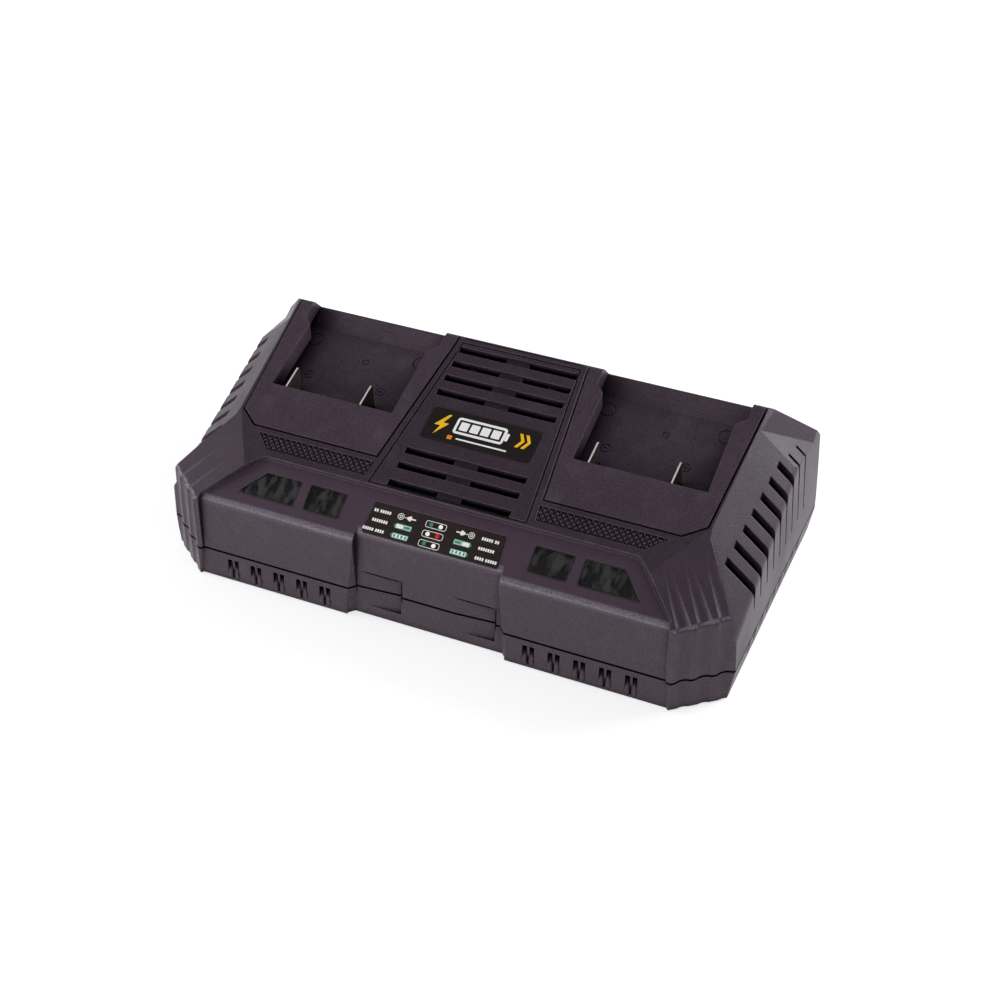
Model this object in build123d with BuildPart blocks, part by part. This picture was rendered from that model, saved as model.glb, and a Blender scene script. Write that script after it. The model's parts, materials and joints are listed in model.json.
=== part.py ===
"""Two-bay battery charger for slide-in tool batteries, as an assembly of separate parts.

Frame: origin at the centre of the footprint on the resting surface, +X to the right, +Y to the rear,
+Z up. Lengths are in millimetres.
"""

from build123d import *
import math
import os

os.makedirs("parts", exist_ok=True)

# ---------------------------------------------------------------- housing, outside
HALF_WIDTH = 141.4  # at the joint between the shells
REAR_Y = 73.0
POST_Y = -72.6
POST_LEAN = 0.09
FOOT_RISE = 0.8
PARTING_Z = 15.8
PARTING_GAP = 0.6
WALL = 2.6
FLOOR = 2.6
TOP_Z = 69.9  # height of the sloping top above the origin
TOP_ANGLE = 15.6
RIDGE_Y = 47.0
REAR_WALL_Z = 54.0
RIDGE_RADIUS = 3.0
SIDE_LEAN = 0.05
SIDE_TAPER = 2.2
REAR_TAPER = 6.0
FRONT_Y = -71.5
FRONT_LEAN = 0.115
CENTRE_RECESS = 3.5
BLOCK_X = 39.7
POST_X = HALF_WIDTH - 23.6
POST_SLOPE = 2.2
CHAMFER_START = (HALF_WIDTH - 23.0, -71.1)  # at the joint between the shells
CHAMFER_END = (HALF_WIDTH, -53.1)
CHAMFER_LEAN = 0.065
EDGE_RADIUS = 4.0
FOLD_RADIUS = 6.0
CORNER_TOP_NORMAL = (0.236, -0.421, 1.0)
CORNER_TOP_POINT = (HALF_WIDTH - 22.9, -24.0, 62.5)

# ---------------------------------------------------------------- fascia
FASCIA_Z = 80.0
FASCIA_ANGLE = 28.9
FASCIA_TOP_Y = -43.5
FASCIA_TOP_X = 92.5
FASCIA_SIDE_Y = -65.5
FASCIA_CORNER = 6.0
FRONT_RADIUS = 6.0

# ---------------------------------------------------------------- side bevels and rear corners
BEVEL_TOP = (117.3, -24.0)
BEVEL_NORMAL = (0.66, -0.23, 0.72)
CORNER_BLOCK_EDGE = (HALF_WIDTH - 0.4, -57.5)
REAR_BLOCK_NORMAL = (0.84, -0.22, 0.50)
REAR_BLOCK_POINT = (121.5, 46.0, 82.5)
VALLEY_NORMAL = (0.66, 0.08, 0.72)
VALLEY_Y = 34.3

# ---------------------------------------------------------------- fluted front corners
FLUTE_COUNT = 3
FLUTE_FIRST = 5.3
FLUTE_PITCH = 9.5
FLUTE_RADIUS = 6.5
FLUTE_DEPTH = 1.1
FLUTE_LAND = 1.0
FLUTE_REACH = 30.0
FLUTE_RUN_OUT = 0.9

# ---------------------------------------------------------------- side slots and vents
SIDE_SLOTS = 9
SIDE_NARROW_SLOTS = 2
SIDE_SLOT_PITCH = 9.35
SIDE_SLOT_FIRST_Y = -27.7
SIDE_SLOT_WIDTH = 3.9
SIDE_NARROW_WIDTH = 1.8
SIDE_SLOT_NECK = 4.5
SIDE_SLOT_NECK_WIDTH = 1.6
SIDE_SLOT_TIP_Z = 30.0
SIDE_SLOT_TIP_WIDTH = 0.8
SIDE_SLOT_X = 126.3
SIDE_SLOT_X_STEP = 0.83
SIDE_NARROW_SHIFT = 1.4
SIDE_VENT_Z = 7.3
SIDE_VENT_WIDTH = 3.0
FRONT_VENTS = 5
FRONT_VENT_X = 51.2
FRONT_VENT_PITCH = 12.2
FRONT_VENT_WIDTH = 5.8
FRONT_VENT_TOP = 12.3
VENT_RIB = 1.1

# ---------------------------------------------------------------- thumb recesses in the front wall
THUMB_X = (-13.4, 33.4)
THUMB_WIDTH = 20.0
THUMB_TOP = 23.8
THUMB_BOTTOM = 6.0
THUMB_DEPTH = 1.4

# ---------------------------------------------------------------- grille panel
PANEL_FRONT = (39.4, -42.6)
PANEL_REAR = (30.6, 43.6)
PANEL_RIM = 0.9
PANEL_GROOVE = 0.5
GRILLE_ROWS_REAR = 4
GRILLE_PITCH = 8.57
GRILLE_REAR_Y = 38.9
GRILLE_FRONT_ROWS = (-39.9, -30.0, -21.5)
GRILLE_SLOT = 3.7
GRILLE_OUTER_X = 30.3
GRILLE_INNER_X = 5.9
GRILLE_BRIDGE_DEPTH = 1.1

# ---------------------------------------------------------------- plates, windows, grip strips
NAME_PLATE = (54.2, 18.0)
NAME_PLATE_Y = -3.7
PLATE_CORNER = 1.6
PLATE_THICK = 0.8
PLATE_RECESS = 0.5
PLATE_GAP = 0.15
LABEL_THICK = 0.5
LABEL_RECESS = 0.35
LABEL_TOP = (32.2, -48.8)
LABEL_BOTTOM = (33.4, -62.3)
WINDOW_TOP_Y = -48.8
WINDOW_BOTTOM_Y = -60.0
WINDOW_INNER_X = (46.4, 65.4)
WINDOW_OUTER_X = (69.9, 88.4)
WINDOW_OUTER_TIP_X = 99.4
WINDOW_SINK = 0.35
WINDOW_LEDGE = 1.0
STRIP_TOP = (41.2, 101.6, -31.9)
STRIP_BOTTOM = (42.3, 93.5, -39.7)
STRIP_DEPTH = 0.9
LAMP_ROWS = (-52.0, -56.1, -60.2)
LAMP_X = (-3.1, 1.6)
LAMP_DIAMETER = 2.0
LAMP_GAP = 0.05
LAMP_RISE = 0.2
PANEL_BOARD_DEPTH = 8.0
PANEL_BOARD_THICK = 1.2
PANEL_BOARD_V = -61.2  # distances down the fascia, from where it would meet the middle plane
PANEL_SCREW_V = -52.2
PANEL_BOSS_RADIUS = 2.2
PANEL_SCREW_X = (-88.0, -56.0, -16.0, 16.0, 56.0, 88.0)
PANEL_SCREW_DEPTH = 6.0
INDICATOR_X = 72.2
INDICATOR_SIZE = (57.0, 21.0)
INDICATOR_LAMPS = 4
INDICATOR_LAMP_PITCH = 11.8
INDICATOR_LAMP_Y = -54.4
STATUS_SIZE = (40.0, 21.0)
RIBBON_Y = -44.0
RIBBON_WIDTH = 16.0

# ---------------------------------------------------------------- battery bays
BAY_X = 77.5
BAY_INNER_X = (45.5, 45.0, 40.5)  # inner edge of the opening: front, end of the rail, rear
BAY_OUTER_X = (109.5, 108.6, 113.2)
BAY_FRONT_Y = -4.4
RAIL_REAR_Y = 33.9
RAIL_CUT_Y = 38.0
RAIL_CORNER = 2.0
GROOVE_HALF = 37.8
GROOVE_HEIGHT = 4.8
BAY_DEPTH = 12.9  # the floor lies this far under the sloping top, and parallel to it
BAY_FLOOR_THICK = 2.4
RAMP_FOOT_Y = 45.2
RAMP_TOP_Y = 52.7
RIM_THICK = 3.6
RIM_RADIUS = 1.2
INSERT_FRONT_Y = -28.2
INSERT_INNER_FRONT_X = 41.8
INSERT_INNER_REAR_X = 34.0
INSERT_CHAMFER_X = 106.0
INSERT_OUTER_FRONT = (115.3, -21.1)
INSERT_OUTER_REAR_X = 119.0
INSERT_SIDE_END_Y = 42.3
INSERT_REAR_Y = 57.0
INSERT_GAP = 0.5
INSERT_EDGE = 0.7
SKIN_GAP = 0.3
INSERT_TAB_Y = -33.5
INSERT_TAB_X = (52.0, 96.0)
BAY_WALL = 2.2
TUB_WALL = 1.6
LIP = 1.8
TAB_TOP = 54.5
TAB_THICK = 2.4
TAB_BOSS_RADIUS = 3.4
TAB_SCREW_DEPTH = 4.2
APRON_THICK = 2.6
FLOOR_SIGNS = ((-24.7, 17.2), (14.4, 17.2))  # negative, positive, from the bay's centre
SIGN_RADIUS = 2.5
SIGN_LINE = 0.6
SIGN_DEPTH = 0.3
EJECTORS = ((-31.5, 38.0, 4.0), (26.3, 38.4, 4.0), (-0.6, 31.8, 1.8))

# ---------------------------------------------------------------- contacts
BLADE_X = (-24.4, 15.1)  # negative, positive, from the bay's centre
BLADE_THICK = 0.8
BLADE_FRONT_Y = -4.1
BLADE_REAR_Y = 8.8
BLADE_FRONT_Z = 68.8
BLADE_REAR_Z = 71.9
BLADE_TAIL = 9.0
BLADE_GAP = 0.3
BLADE_TAIL_Y = 2.0
CARRIER = (50.0, 18.0, 12.0)
CARRIER_X = -4.6
CARRIER_Y = 2.4
CARRIER_PEG = 29.0
EAR_THICK = 3.0
PEG_RADIUS = 1.5
PEG_HEAD = 1.2
LEAD_RADIUS = 1.3
LEDGE = (62.0, 3.0, 3.0)

# ---------------------------------------------------------------- inside
STANDOFF = 5.6
STANDOFF_RADIUS = 3.4
TONGUE_GAP = 0.3
TONGUE_THICK = 1.2
TONGUE_ROOT = 2.4
TONGUE_HEIGHT = 2.8
TONGUE_SPREAD = 1.8
CORNER_WALL = 4.2
BOARD = (214.0, 100.0, 1.6)
BOARD_Y = 4.0
BOARD_SCREW_X = 98.0
BOARD_SCREW_Y = 44.0
BOSS_RADIUS = 4.2
HOUSING_BOSSES = ((57.3, -62.8), (128.0, -44.0), (127.5, 58.0))
SCREW_HEAD = 5.6
SCREW_RADIUS = 1.5
SCREW_SEAT = 7.0
SCREW_DEPTH = 11.0
SCREW_GAP = 0.05
SMALL_SCREW_RADIUS = 1.2
SMALL_SCREW_HEAD = 4.4
INLET_X = -62.0
INLET = (27.0, 22.0, 17.0)
INLET_SOCKET = (17.4, 9.0, 12.0)
INLET_Z = 17.0
INLET_FACE_Y = 72.6
INLET_GAP = 0.3
INLET_PIN = 2.4
INLET_TAIL = 1.8
INLET_PIN_SPACING = 8.6
FAN_SIZE = 50.0
FAN_DEPTH = 15.0
FAN_Y = 14.6
FAN_Z = 45.0
FAN_WALL = 2.0
FAN_CORNER = 3.0
FAN_HOLE_INSET = 5.0
FAN_HUB = 22.0
FAN_BLADES = 7
FAN_TIP_GAP = 0.6
FAN_SHAFT = 3.0
FAN_SHAFT_GAP = 0.05
FAN_BOSS_RADIUS = 2.4
FAN_SCREW_DEPTH = 5.0
FAN_BASE = 1.8
FAN_ROTOR_HEIGHT = 10.4
FAN_BLADE_ANGLE = 38.0
FUSE = (-82.0, 45.5)
CHOKE = (-92.0, 22.0)
BULK = (-24.0, 38.0, 10.0, 30.0)  # x, y, radius, length
OUTPUT_CAPS_X = (24.0, 36.0)
OUTPUT_CAPS_Y = -26.0
OUTPUT_CAP = (5.0, 18.0)
TRANSFORMER = (62.0, 28.0)
HEAT_SINK = (74.0, -22.0, 44.0, 24.0)  # x, y, length, height
HEAT_FINS = 7
FOOT_X = 118.0
FOOT_Y = (-56.0, 50.0)
FOOT_RADIUS = 6.0
FOOT_RECESS = 1.2
KEYHOLE_SPACING = 160.0
KEYHOLE_Y = 8.0
KEYHOLE_HEAD = 4.5
KEYHOLE_SLOT = 2.3
KEYHOLE_RUN = 8.0
KEYHOLE_POCKET = 3.2
FLOOR_VENTS = 12
FLOOR_VENT_PITCH = 5.6
FLOOR_VENT_LENGTH = 26.0
FLOOR_VENT_WIDTH = 2.8

# ---------------------------------------------------------------- worked out from the values above
TOP_SLOPE = math.tan(math.radians(TOP_ANGLE))
FASCIA_SLOPE = math.tan(math.radians(FASCIA_ANGLE))
RAD = math.radians(TOP_ANGLE)
RAD_FASCIA = math.radians(FASCIA_ANGLE)
TOP = Plane(origin=(0, 0, TOP_Z), x_dir=(1, 0, 0), z_dir=(0, -math.sin(RAD), math.cos(RAD)))
FASCIA = Plane(
    origin=(0, 0, FASCIA_Z), x_dir=(1, 0, 0), z_dir=(0, -math.sin(RAD_FASCIA), math.cos(RAD_FASCIA))
)
RIDGE_Z = TOP_Z + TOP_SLOPE * RIDGE_Y
REAR_SLOPE = (RIDGE_Z - REAR_WALL_Z) / (REAR_Y - RIDGE_Y)
SKIN = WALL / math.cos(RAD)
FASCIA_SKIN = WALL / math.cos(RAD_FASCIA)
FLOOR_TOP = FOOT_RISE + FLOOR
BOARD_Z = FLOOR_TOP + STANDOFF
BOARD_TOP = BOARD_Z + BOARD[2]
ABOVE = 120.0
BEYOND = 170.0


def top_z(y):
    """Height of the sloping top at y."""
    return TOP_Z + TOP_SLOPE * y


def fascia_z(y):
    """Height of the fascia at y."""
    return FASCIA_Z + FASCIA_SLOPE * y


def rear_z(y):
    """Height of the slope behind the ridge at y."""
    return RIDGE_Z - REAR_SLOPE * (y - RIDGE_Y)


def under_top(y, depth):
    """Distance along a plane this deep under the sloping top, for a plan distance y."""
    return (y - depth * math.sin(RAD)) / math.cos(RAD)


def under_z(y, depth):
    """Height at y of a plane this deep under the sloping top."""
    return top_z(y) - depth / math.cos(RAD)


def front_y(z, recess=0.0):
    """Y of the leaning front wall at height z."""
    return FRONT_Y + recess + FRONT_LEAN * (z - FOOT_RISE)


def front_edge(recess=0.0):
    """Y and Z where the front wall would meet the fascia."""
    y = (front_y(0, recess) + FRONT_LEAN * FASCIA_Z) / (1 - FRONT_LEAN * FASCIA_SLOPE)
    return y, fascia_z(y)


def on_top(y):
    """Distance along the sloping top for a plan distance y."""
    return y / math.cos(RAD)


def on_fascia(y):
    """Distance along the fascia for a plan distance y."""
    return y / math.cos(RAD_FASCIA)


def corner_top_z(x, y):
    """Height of the corner's own sloping top."""
    nx, ny, nz = CORNER_TOP_NORMAL
    px, py, pz = CORNER_TOP_POINT
    return pz - (nx * (x - px) + ny * (y - py)) / nz


def facet(normal, point, inward=0.0):
    """Plane with this outward normal through the point, moved inward."""
    plane = Plane(origin=point, z_dir=normal)
    return plane.offset(-inward)


def flip(point, sign):
    """The point or normal, mirrored to the left for a sign of -1."""
    return (sign * point[0], point[1], point[2])


BEVEL_POINT = (BEVEL_TOP[0], BEVEL_TOP[1], top_z(BEVEL_TOP[1]))
CHAMFER_RUN = (CHAMFER_END[0] - CHAMFER_START[0], CHAMFER_END[1] - CHAMFER_START[1])
CHAMFER_LENGTH = math.hypot(*CHAMFER_RUN)
ALONG = (CHAMFER_RUN[0] / CHAMFER_LENGTH, CHAMFER_RUN[1] / CHAMFER_LENGTH)
OUTWARD = (ALONG[1], -ALONG[0])
SIDE_NORMAL = (1.0, 0.0, SIDE_LEAN)
SIDE_POINT = (HALF_WIDTH, 0.0, PARTING_Z)
CHAMFER_NORMAL = (OUTWARD[0], OUTWARD[1], CHAMFER_LEAN)
CHAMFER_POINT = (CHAMFER_START[0], CHAMFER_START[1], PARTING_Z)
POST_NORMAL = (0.0, -1.0, POST_LEAN)
POST_POINT = (0.0, POST_Y, FOOT_RISE)

BOSS_JOIN = 16.4
FRONT_BOSS_HEIGHT = 14.0
BAY_UNDERSIDE = BAY_DEPTH + BAY_FLOOR_THICK
CARRIER_UNDERSIDE = BAY_UNDERSIDE + CARRIER[2]
BAY_FLOOR = TOP.offset(-BAY_DEPTH)
BAY_UNDER = TOP.offset(-BAY_UNDERSIDE)
CARRIER_V = under_top(CARRIER_Y, BAY_UNDERSIDE)
PEG_PLACES = [(CARRIER_X + i * CARRIER_PEG, CARRIER_V) for i in (-1, 1)]
TAIL_Z = under_z(BLADE_TAIL_Y, CARRIER_UNDERSIDE) - BLADE_TAIL
RAMP_FOOT_Z = under_z(RAMP_FOOT_Y, BAY_DEPTH)
RAMP = Plane(
    origin=(0, RAMP_FOOT_Y, RAMP_FOOT_Z),
    x_dir=(1, 0, 0),
    z_dir=(0, RAMP_FOOT_Z - rear_z(RAMP_TOP_Y), RAMP_TOP_Y - RAMP_FOOT_Y),
)
RIM_CORNER = [
    (RAMP_FOOT_Y, RAMP_FOOT_Z),
    (RAMP_TOP_Y, rear_z(RAMP_TOP_Y)),
    (RAMP_TOP_Y + 4.0, rear_z(RAMP_TOP_Y + 4.0)),
]
FAN_TOP = FAN_Z + FAN_DEPTH
FAN_BORE = FAN_SIZE - 2 * FAN_WALL
FAN_HOLE_PITCH = FAN_SIZE - 2 * FAN_HOLE_INSET
FAN_HOLES = [(i * FAN_HOLE_PITCH / 2, FAN_Y + j * FAN_HOLE_PITCH / 2) for i in (-1, 1) for j in (-1, 1)]
BOARD_HOLES = [(i * BOARD_SCREW_X, BOARD_Y + j * BOARD_SCREW_Y) for i in (-1, 1) for j in (-1, 1)]
UPRIGHT = (Align.CENTER, Align.CENTER, Align.MIN)
HANGING = (Align.CENTER, Align.CENTER, Align.MAX)
GRILLE_ROWS = [GRILLE_REAR_Y - i * GRILLE_PITCH for i in range(GRILLE_ROWS_REAR)]
GRILLE_ROWS += GRILLE_FRONT_ROWS
GRILLE_MIDDLE_X = (GRILLE_OUTER_X + GRILLE_INNER_X) / 2
BEVEL_CONSTANT = sum(n * p for n, p in zip(BEVEL_NORMAL, BEVEL_POINT))
VALLEY_X = (BEVEL_CONSTANT - BEVEL_NORMAL[1] * VALLEY_Y - BEVEL_NORMAL[2] * top_z(VALLEY_Y)) / BEVEL_NORMAL[0]
VALLEY_POINT = (VALLEY_X, VALLEY_Y, top_z(VALLEY_Y))
INSERT_OUTLINE = [
    (INSERT_INNER_FRONT_X, INSERT_FRONT_Y),
    (INSERT_CHAMFER_X, INSERT_FRONT_Y),
    INSERT_OUTER_FRONT,
    (INSERT_OUTER_REAR_X, INSERT_SIDE_END_Y),
    (INSERT_OUTER_REAR_X, INSERT_REAR_Y),
    (INSERT_INNER_REAR_X, INSERT_REAR_Y),
    (INSERT_INNER_REAR_X, INSERT_SIDE_END_Y),
]
LABEL_OUTLINE = [
    (LABEL_TOP[0], on_fascia(LABEL_TOP[1])),
    (LABEL_BOTTOM[0], on_fascia(LABEL_BOTTOM[1])),
    (-LABEL_BOTTOM[0], on_fascia(LABEL_BOTTOM[1])),
    (-LABEL_TOP[0], on_fascia(LABEL_TOP[1])),
]
WINDOWS = {
    "inner": [
        (WINDOW_INNER_X[0], WINDOW_TOP_Y),
        (WINDOW_INNER_X[1], WINDOW_TOP_Y),
        (WINDOW_INNER_X[1] - 0.4, WINDOW_BOTTOM_Y),
        (WINDOW_INNER_X[0], WINDOW_BOTTOM_Y),
    ],
    "outer": [
        (WINDOW_OUTER_X[0], WINDOW_TOP_Y),
        (WINDOW_OUTER_X[1], WINDOW_TOP_Y),
        (WINDOW_OUTER_TIP_X, WINDOW_BOTTOM_Y),
        (WINDOW_OUTER_X[0], WINDOW_BOTTOM_Y),
    ],
}
STRIP_OUTLINE = [
    (STRIP_TOP[0], STRIP_TOP[2]),
    (STRIP_TOP[1], STRIP_TOP[2]),
    (STRIP_BOTTOM[1], STRIP_BOTTOM[2]),
    (STRIP_BOTTOM[0], STRIP_BOTTOM[2]),
]
TONGUE_FRONT = front_y(PARTING_Z + TONGUE_HEIGHT) + WALL + TONGUE_GAP
TONGUE_SIDE = HALF_WIDTH - WALL - TONGUE_GAP
TONGUE_DIAGONAL = OUTWARD[0] * CHAMFER_START[0] + OUTWARD[1] * CHAMFER_START[1] - CORNER_WALL - TONGUE_GAP
TONGUE_OUTLINE = [
    (0, TONGUE_FRONT + CENTRE_RECESS),
    (BLOCK_X + WALL + TONGUE_GAP, TONGUE_FRONT + CENTRE_RECESS),
    (BLOCK_X + WALL + TONGUE_GAP, TONGUE_FRONT),
    ((TONGUE_DIAGONAL - OUTWARD[1] * TONGUE_FRONT) / OUTWARD[0], TONGUE_FRONT),
    (TONGUE_SIDE, (TONGUE_DIAGONAL - OUTWARD[0] * TONGUE_SIDE) / OUTWARD[1]),
    (TONGUE_SIDE, REAR_Y - WALL - TONGUE_GAP),
    (0, REAR_Y - WALL - TONGUE_GAP),
]
BAY_OPENING = [
    (BAY_INNER_X[0], BAY_FRONT_Y),
    (BAY_OUTER_X[0], BAY_FRONT_Y),
    (BAY_OUTER_X[1], RAIL_REAR_Y),
    (BAY_OUTER_X[2], RAIL_CUT_Y),
    (BAY_OUTER_X[2], BEYOND),
    (BAY_INNER_X[2], BEYOND),
    (BAY_INNER_X[2], RAIL_CUT_Y),
    (BAY_INNER_X[1], RAIL_REAR_Y),
]

# ================================================================ shared solids
# outline of the housing seen from above, with the leaning front corners
with BuildPart() as housing_prism:
    with BuildSketch(Plane.XY.offset(FOOT_RISE)):
        with Locations((0, REAR_Y)):
            Rectangle(2 * HALF_WIDTH, REAR_Y - POST_Y, align=(Align.CENTER, Align.MAX))
    extrude(amount=ABOVE)
    rear_corners = housing_prism.edges().filter_by(Axis.Z).group_by(Axis.Y)[-1]
    fillet(rear_corners, radius=5.0)
    for sign in (1, -1):
        split(bisect_by=facet(flip(CHAMFER_NORMAL, sign), flip(CHAMFER_POINT, sign)), keep=Keep.BOTTOM)
    split(bisect_by=facet(POST_NORMAL, POST_POINT), keep=Keep.BOTTOM)

# what is taken away in front of the front wall and above the fascia, between the corner posts
with BuildPart() as fascia_cutter:
    edge_y, edge_z = front_edge()
    with BuildSketch(Plane.YZ) as fascia_profile:
        with BuildLine():
            Polyline(
                (-BEYOND, -5.0),
                (front_y(-5.0), -5.0),
                (edge_y, edge_z),
                (0, FASCIA_Z),
                (0, ABOVE),
                (-BEYOND, ABOVE),
                close=True,
            )
        make_face()
        fillet(fascia_profile.vertices().sort_by_distance((edge_y, edge_z, 0))[0], radius=FRONT_RADIUS)
    extrude(amount=BEYOND, both=True)
    with BuildSketch(Plane.XY.offset(-10.0)) as fascia_outline:
        with BuildLine():
            Polyline(
                (0, -BEYOND),
                (POST_X, -BEYOND),
                (POST_X, POST_Y),
                (POST_X - POST_SLOPE, POST_Y + POST_SLOPE),
                (POST_X - POST_SLOPE, FASCIA_SIDE_Y),
                (FASCIA_TOP_X, FASCIA_TOP_Y),
                (0, FASCIA_TOP_Y),
                close=True,
            )
        make_face()
        mirror(about=Plane.YZ)
        fillet(fascia_outline.vertices().group_by(Axis.Y)[-1], radius=FASCIA_CORNER)
    extrude(amount=BEYOND, mode=Mode.INTERSECT)

# the middle of the front wall stands back between the two front blocks
with BuildPart() as centre_cutter:
    edge_y, edge_z = front_edge(CENTRE_RECESS)
    with BuildSketch(Plane.YZ) as centre_profile:
        with BuildLine():
            Polyline(
                (-BEYOND, -5.0),
                (front_y(-5.0, CENTRE_RECESS), -5.0),
                (edge_y, edge_z),
                (0, FASCIA_Z),
                (0, ABOVE),
                (-BEYOND, ABOVE),
                close=True,
            )
        make_face()
        fillet(centre_profile.vertices().sort_by_distance((edge_y, edge_z, 0))[0], radius=FRONT_RADIUS)
    extrude(amount=BLOCK_X, both=True)
    with BuildSketch(Plane.XY.offset(-10.0)):
        with BuildLine():
            Polyline(
                (0, -BEYOND),
                (BLOCK_X, -BEYOND),
                (BLOCK_X, FRONT_Y + 1.0),
                (BLOCK_X - CENTRE_RECESS, FRONT_Y + 1.0 + CENTRE_RECESS),
                (BLOCK_X - CENTRE_RECESS, FASCIA_TOP_Y - 8.0),
                (0, FASCIA_TOP_Y - 8.0),
                close=True,
            )
        make_face()
        mirror(about=Plane.YZ)
    extrude(amount=BEYOND, mode=Mode.INTERSECT)

# sloping side bevel, behind the fluted corner block
with BuildPart() as bevel_cutter:
    run = (CORNER_BLOCK_EDGE[0] - BEVEL_TOP[0], CORNER_BLOCK_EDGE[1] - BEVEL_TOP[1])
    with BuildSketch(Plane.XY.offset(PARTING_Z)):
        with BuildLine():
            Polyline(
                BEVEL_TOP,
                (BEVEL_TOP[0] + 1.5 * run[0], BEVEL_TOP[1] + 1.5 * run[1]),
                (BEYOND, BEVEL_TOP[1] + 1.5 * run[1]),
                (BEYOND, ABOVE),
                (BEVEL_TOP[0] - 20.0, ABOVE),
                (BEVEL_TOP[0] - 20.0, BEVEL_TOP[1]),
                close=True,
            )
        make_face()
    extrude(amount=ABOVE)
    split(bisect_by=facet(BEVEL_NORMAL, BEVEL_POINT), keep=Keep.TOP)
    mirror(about=Plane.YZ)

# sunk valley in front of the raised rear corner
with BuildPart() as valley_cutter:
    with Locations((HALF_WIDTH, REAR_Y, PARTING_Z)):
        Box(80.0, 120.0, ABOVE, align=UPRIGHT)
    split(bisect_by=facet(VALLEY_NORMAL, VALLEY_POINT), keep=Keep.TOP)
    split(bisect_by=facet(REAR_BLOCK_NORMAL, REAR_BLOCK_POINT), keep=Keep.TOP)
    mirror(about=Plane.YZ)

# round flutes that run out over the corner top and down the leaning wall
with BuildPart() as flute_cutter:
    lift = FLUTE_RADIUS - FLUTE_DEPTH
    fall = (CORNER_TOP_NORMAL[0] * OUTWARD[0] + CORNER_TOP_NORMAL[1] * OUTWARD[1]) / CORNER_TOP_NORMAL[2]
    for index in range(FLUTE_COUNT):
        reach = FLUTE_FIRST + index * FLUTE_PITCH
        foot = (CHAMFER_START[0] + reach * ALONG[0], CHAMFER_START[1] + reach * ALONG[1])
        crown = corner_top_z(*foot) + lift * math.hypot(1, fall)
        start = corner_top_z(*foot) + FLUTE_RADIUS * math.hypot(1, fall) + fall * FLUTE_REACH
        out = (lift - CHAMFER_LEAN * (crown - PARTING_Z)) / (1 - CHAMFER_LEAN * fall)
        side = Plane(
            origin=(foot[0], foot[1], 0), x_dir=(OUTWARD[0], OUTWARD[1], 0), z_dir=(OUTWARD[1], -OUTWARD[0], 0)
        )
        with BuildLine(side) as flute_path:
            FilletPolyline(
                (-FLUTE_REACH, start),
                (out, crown - fall * out),
                (lift, PARTING_Z),
                (lift + FLUTE_RUN_OUT + CHAMFER_LEAN * (PARTING_Z + 5.0), -5.0),
                radius=lift + EDGE_RADIUS,
            )
        section = Plane(origin=flute_path.line @ 0, x_dir=(ALONG[0], ALONG[1], 0), z_dir=flute_path.line % 0)
        with BuildSketch(section):
            Circle(FLUTE_RADIUS)
            Rectangle(FLUTE_PITCH - FLUTE_LAND, 2 * FLUTE_RADIUS, mode=Mode.INTERSECT)
        sweep(path=flute_path.line)
    mirror(about=Plane.YZ)

# space inside the two shells
with BuildPart() as cavity:
    with BuildSketch(Plane.XY.offset(FLOOR_TOP)):
        with BuildLine():
            Polyline(
                (0, POST_Y + WALL + 1.5),
                (HALF_WIDTH - SIDE_TAPER - WALL, POST_Y + WALL + 1.5),
                (HALF_WIDTH - SIDE_TAPER - WALL, REAR_Y - WALL),
                (0, REAR_Y - WALL),
                close=True,
            )
        make_face()
        mirror(about=Plane.YZ)
    extrude(amount=PARTING_Z - FLOOR_TOP)
    with BuildSketch(Plane.XY.offset(PARTING_Z)):
        with BuildLine():
            Polyline(
                (0, POST_Y + WALL + 1.5),
                (HALF_WIDTH - WALL, POST_Y + WALL + 1.5),
                (HALF_WIDTH - WALL, REAR_Y - WALL),
                (0, REAR_Y - WALL),
                close=True,
            )
        make_face()
        mirror(about=Plane.YZ)
    extrude(amount=ABOVE)
    step_y = FASCIA_TOP_Y + WALL
    with BuildSketch(Plane.YZ):
        with BuildLine():
            Polyline(
                (front_y(FLOOR_TOP) + WALL, FLOOR_TOP),
                (front_edge()[0] + WALL, fascia_z(front_edge()[0] + WALL) - FASCIA_SKIN),
                (step_y, fascia_z(step_y) - FASCIA_SKIN),
                (step_y, top_z(step_y) - SKIN),
                (RIDGE_Y - WALL * 0.4, top_z(RIDGE_Y - WALL * 0.4) - SKIN),
                (REAR_Y - WALL, REAR_WALL_Z - WALL),
                (REAR_Y - WALL, PARTING_Z),
                (REAR_Y - REAR_TAPER - WALL, FLOOR_TOP),
                close=True,
            )
        make_face()
    extrude(amount=HALF_WIDTH, both=True, mode=Mode.INTERSECT)
    for sign in (1, -1):
        for normal, point, thickness in (
            (SIDE_NORMAL, SIDE_POINT, WALL),
            (CHAMFER_NORMAL, CHAMFER_POINT, CORNER_WALL),
            (CORNER_TOP_NORMAL, CORNER_TOP_POINT, CORNER_WALL),
            (BEVEL_NORMAL, BEVEL_POINT, WALL),
            (VALLEY_NORMAL, VALLEY_POINT, WALL),
        ):
            split(bisect_by=facet(flip(normal, sign), flip(point, sign), inward=thickness), keep=Keep.BOTTOM)
    with BuildSketch(Plane.YZ):
        with BuildLine():
            Polyline(
                (-BEYOND, -5.0),
                (front_y(-5.0, CENTRE_RECESS) + WALL, -5.0),
                (front_y(ABOVE, CENTRE_RECESS) + WALL, ABOVE),
                (-BEYOND, ABOVE),
                close=True,
            )
        make_face()
    extrude(amount=BLOCK_X + WALL, both=True, mode=Mode.SUBTRACT)

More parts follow.
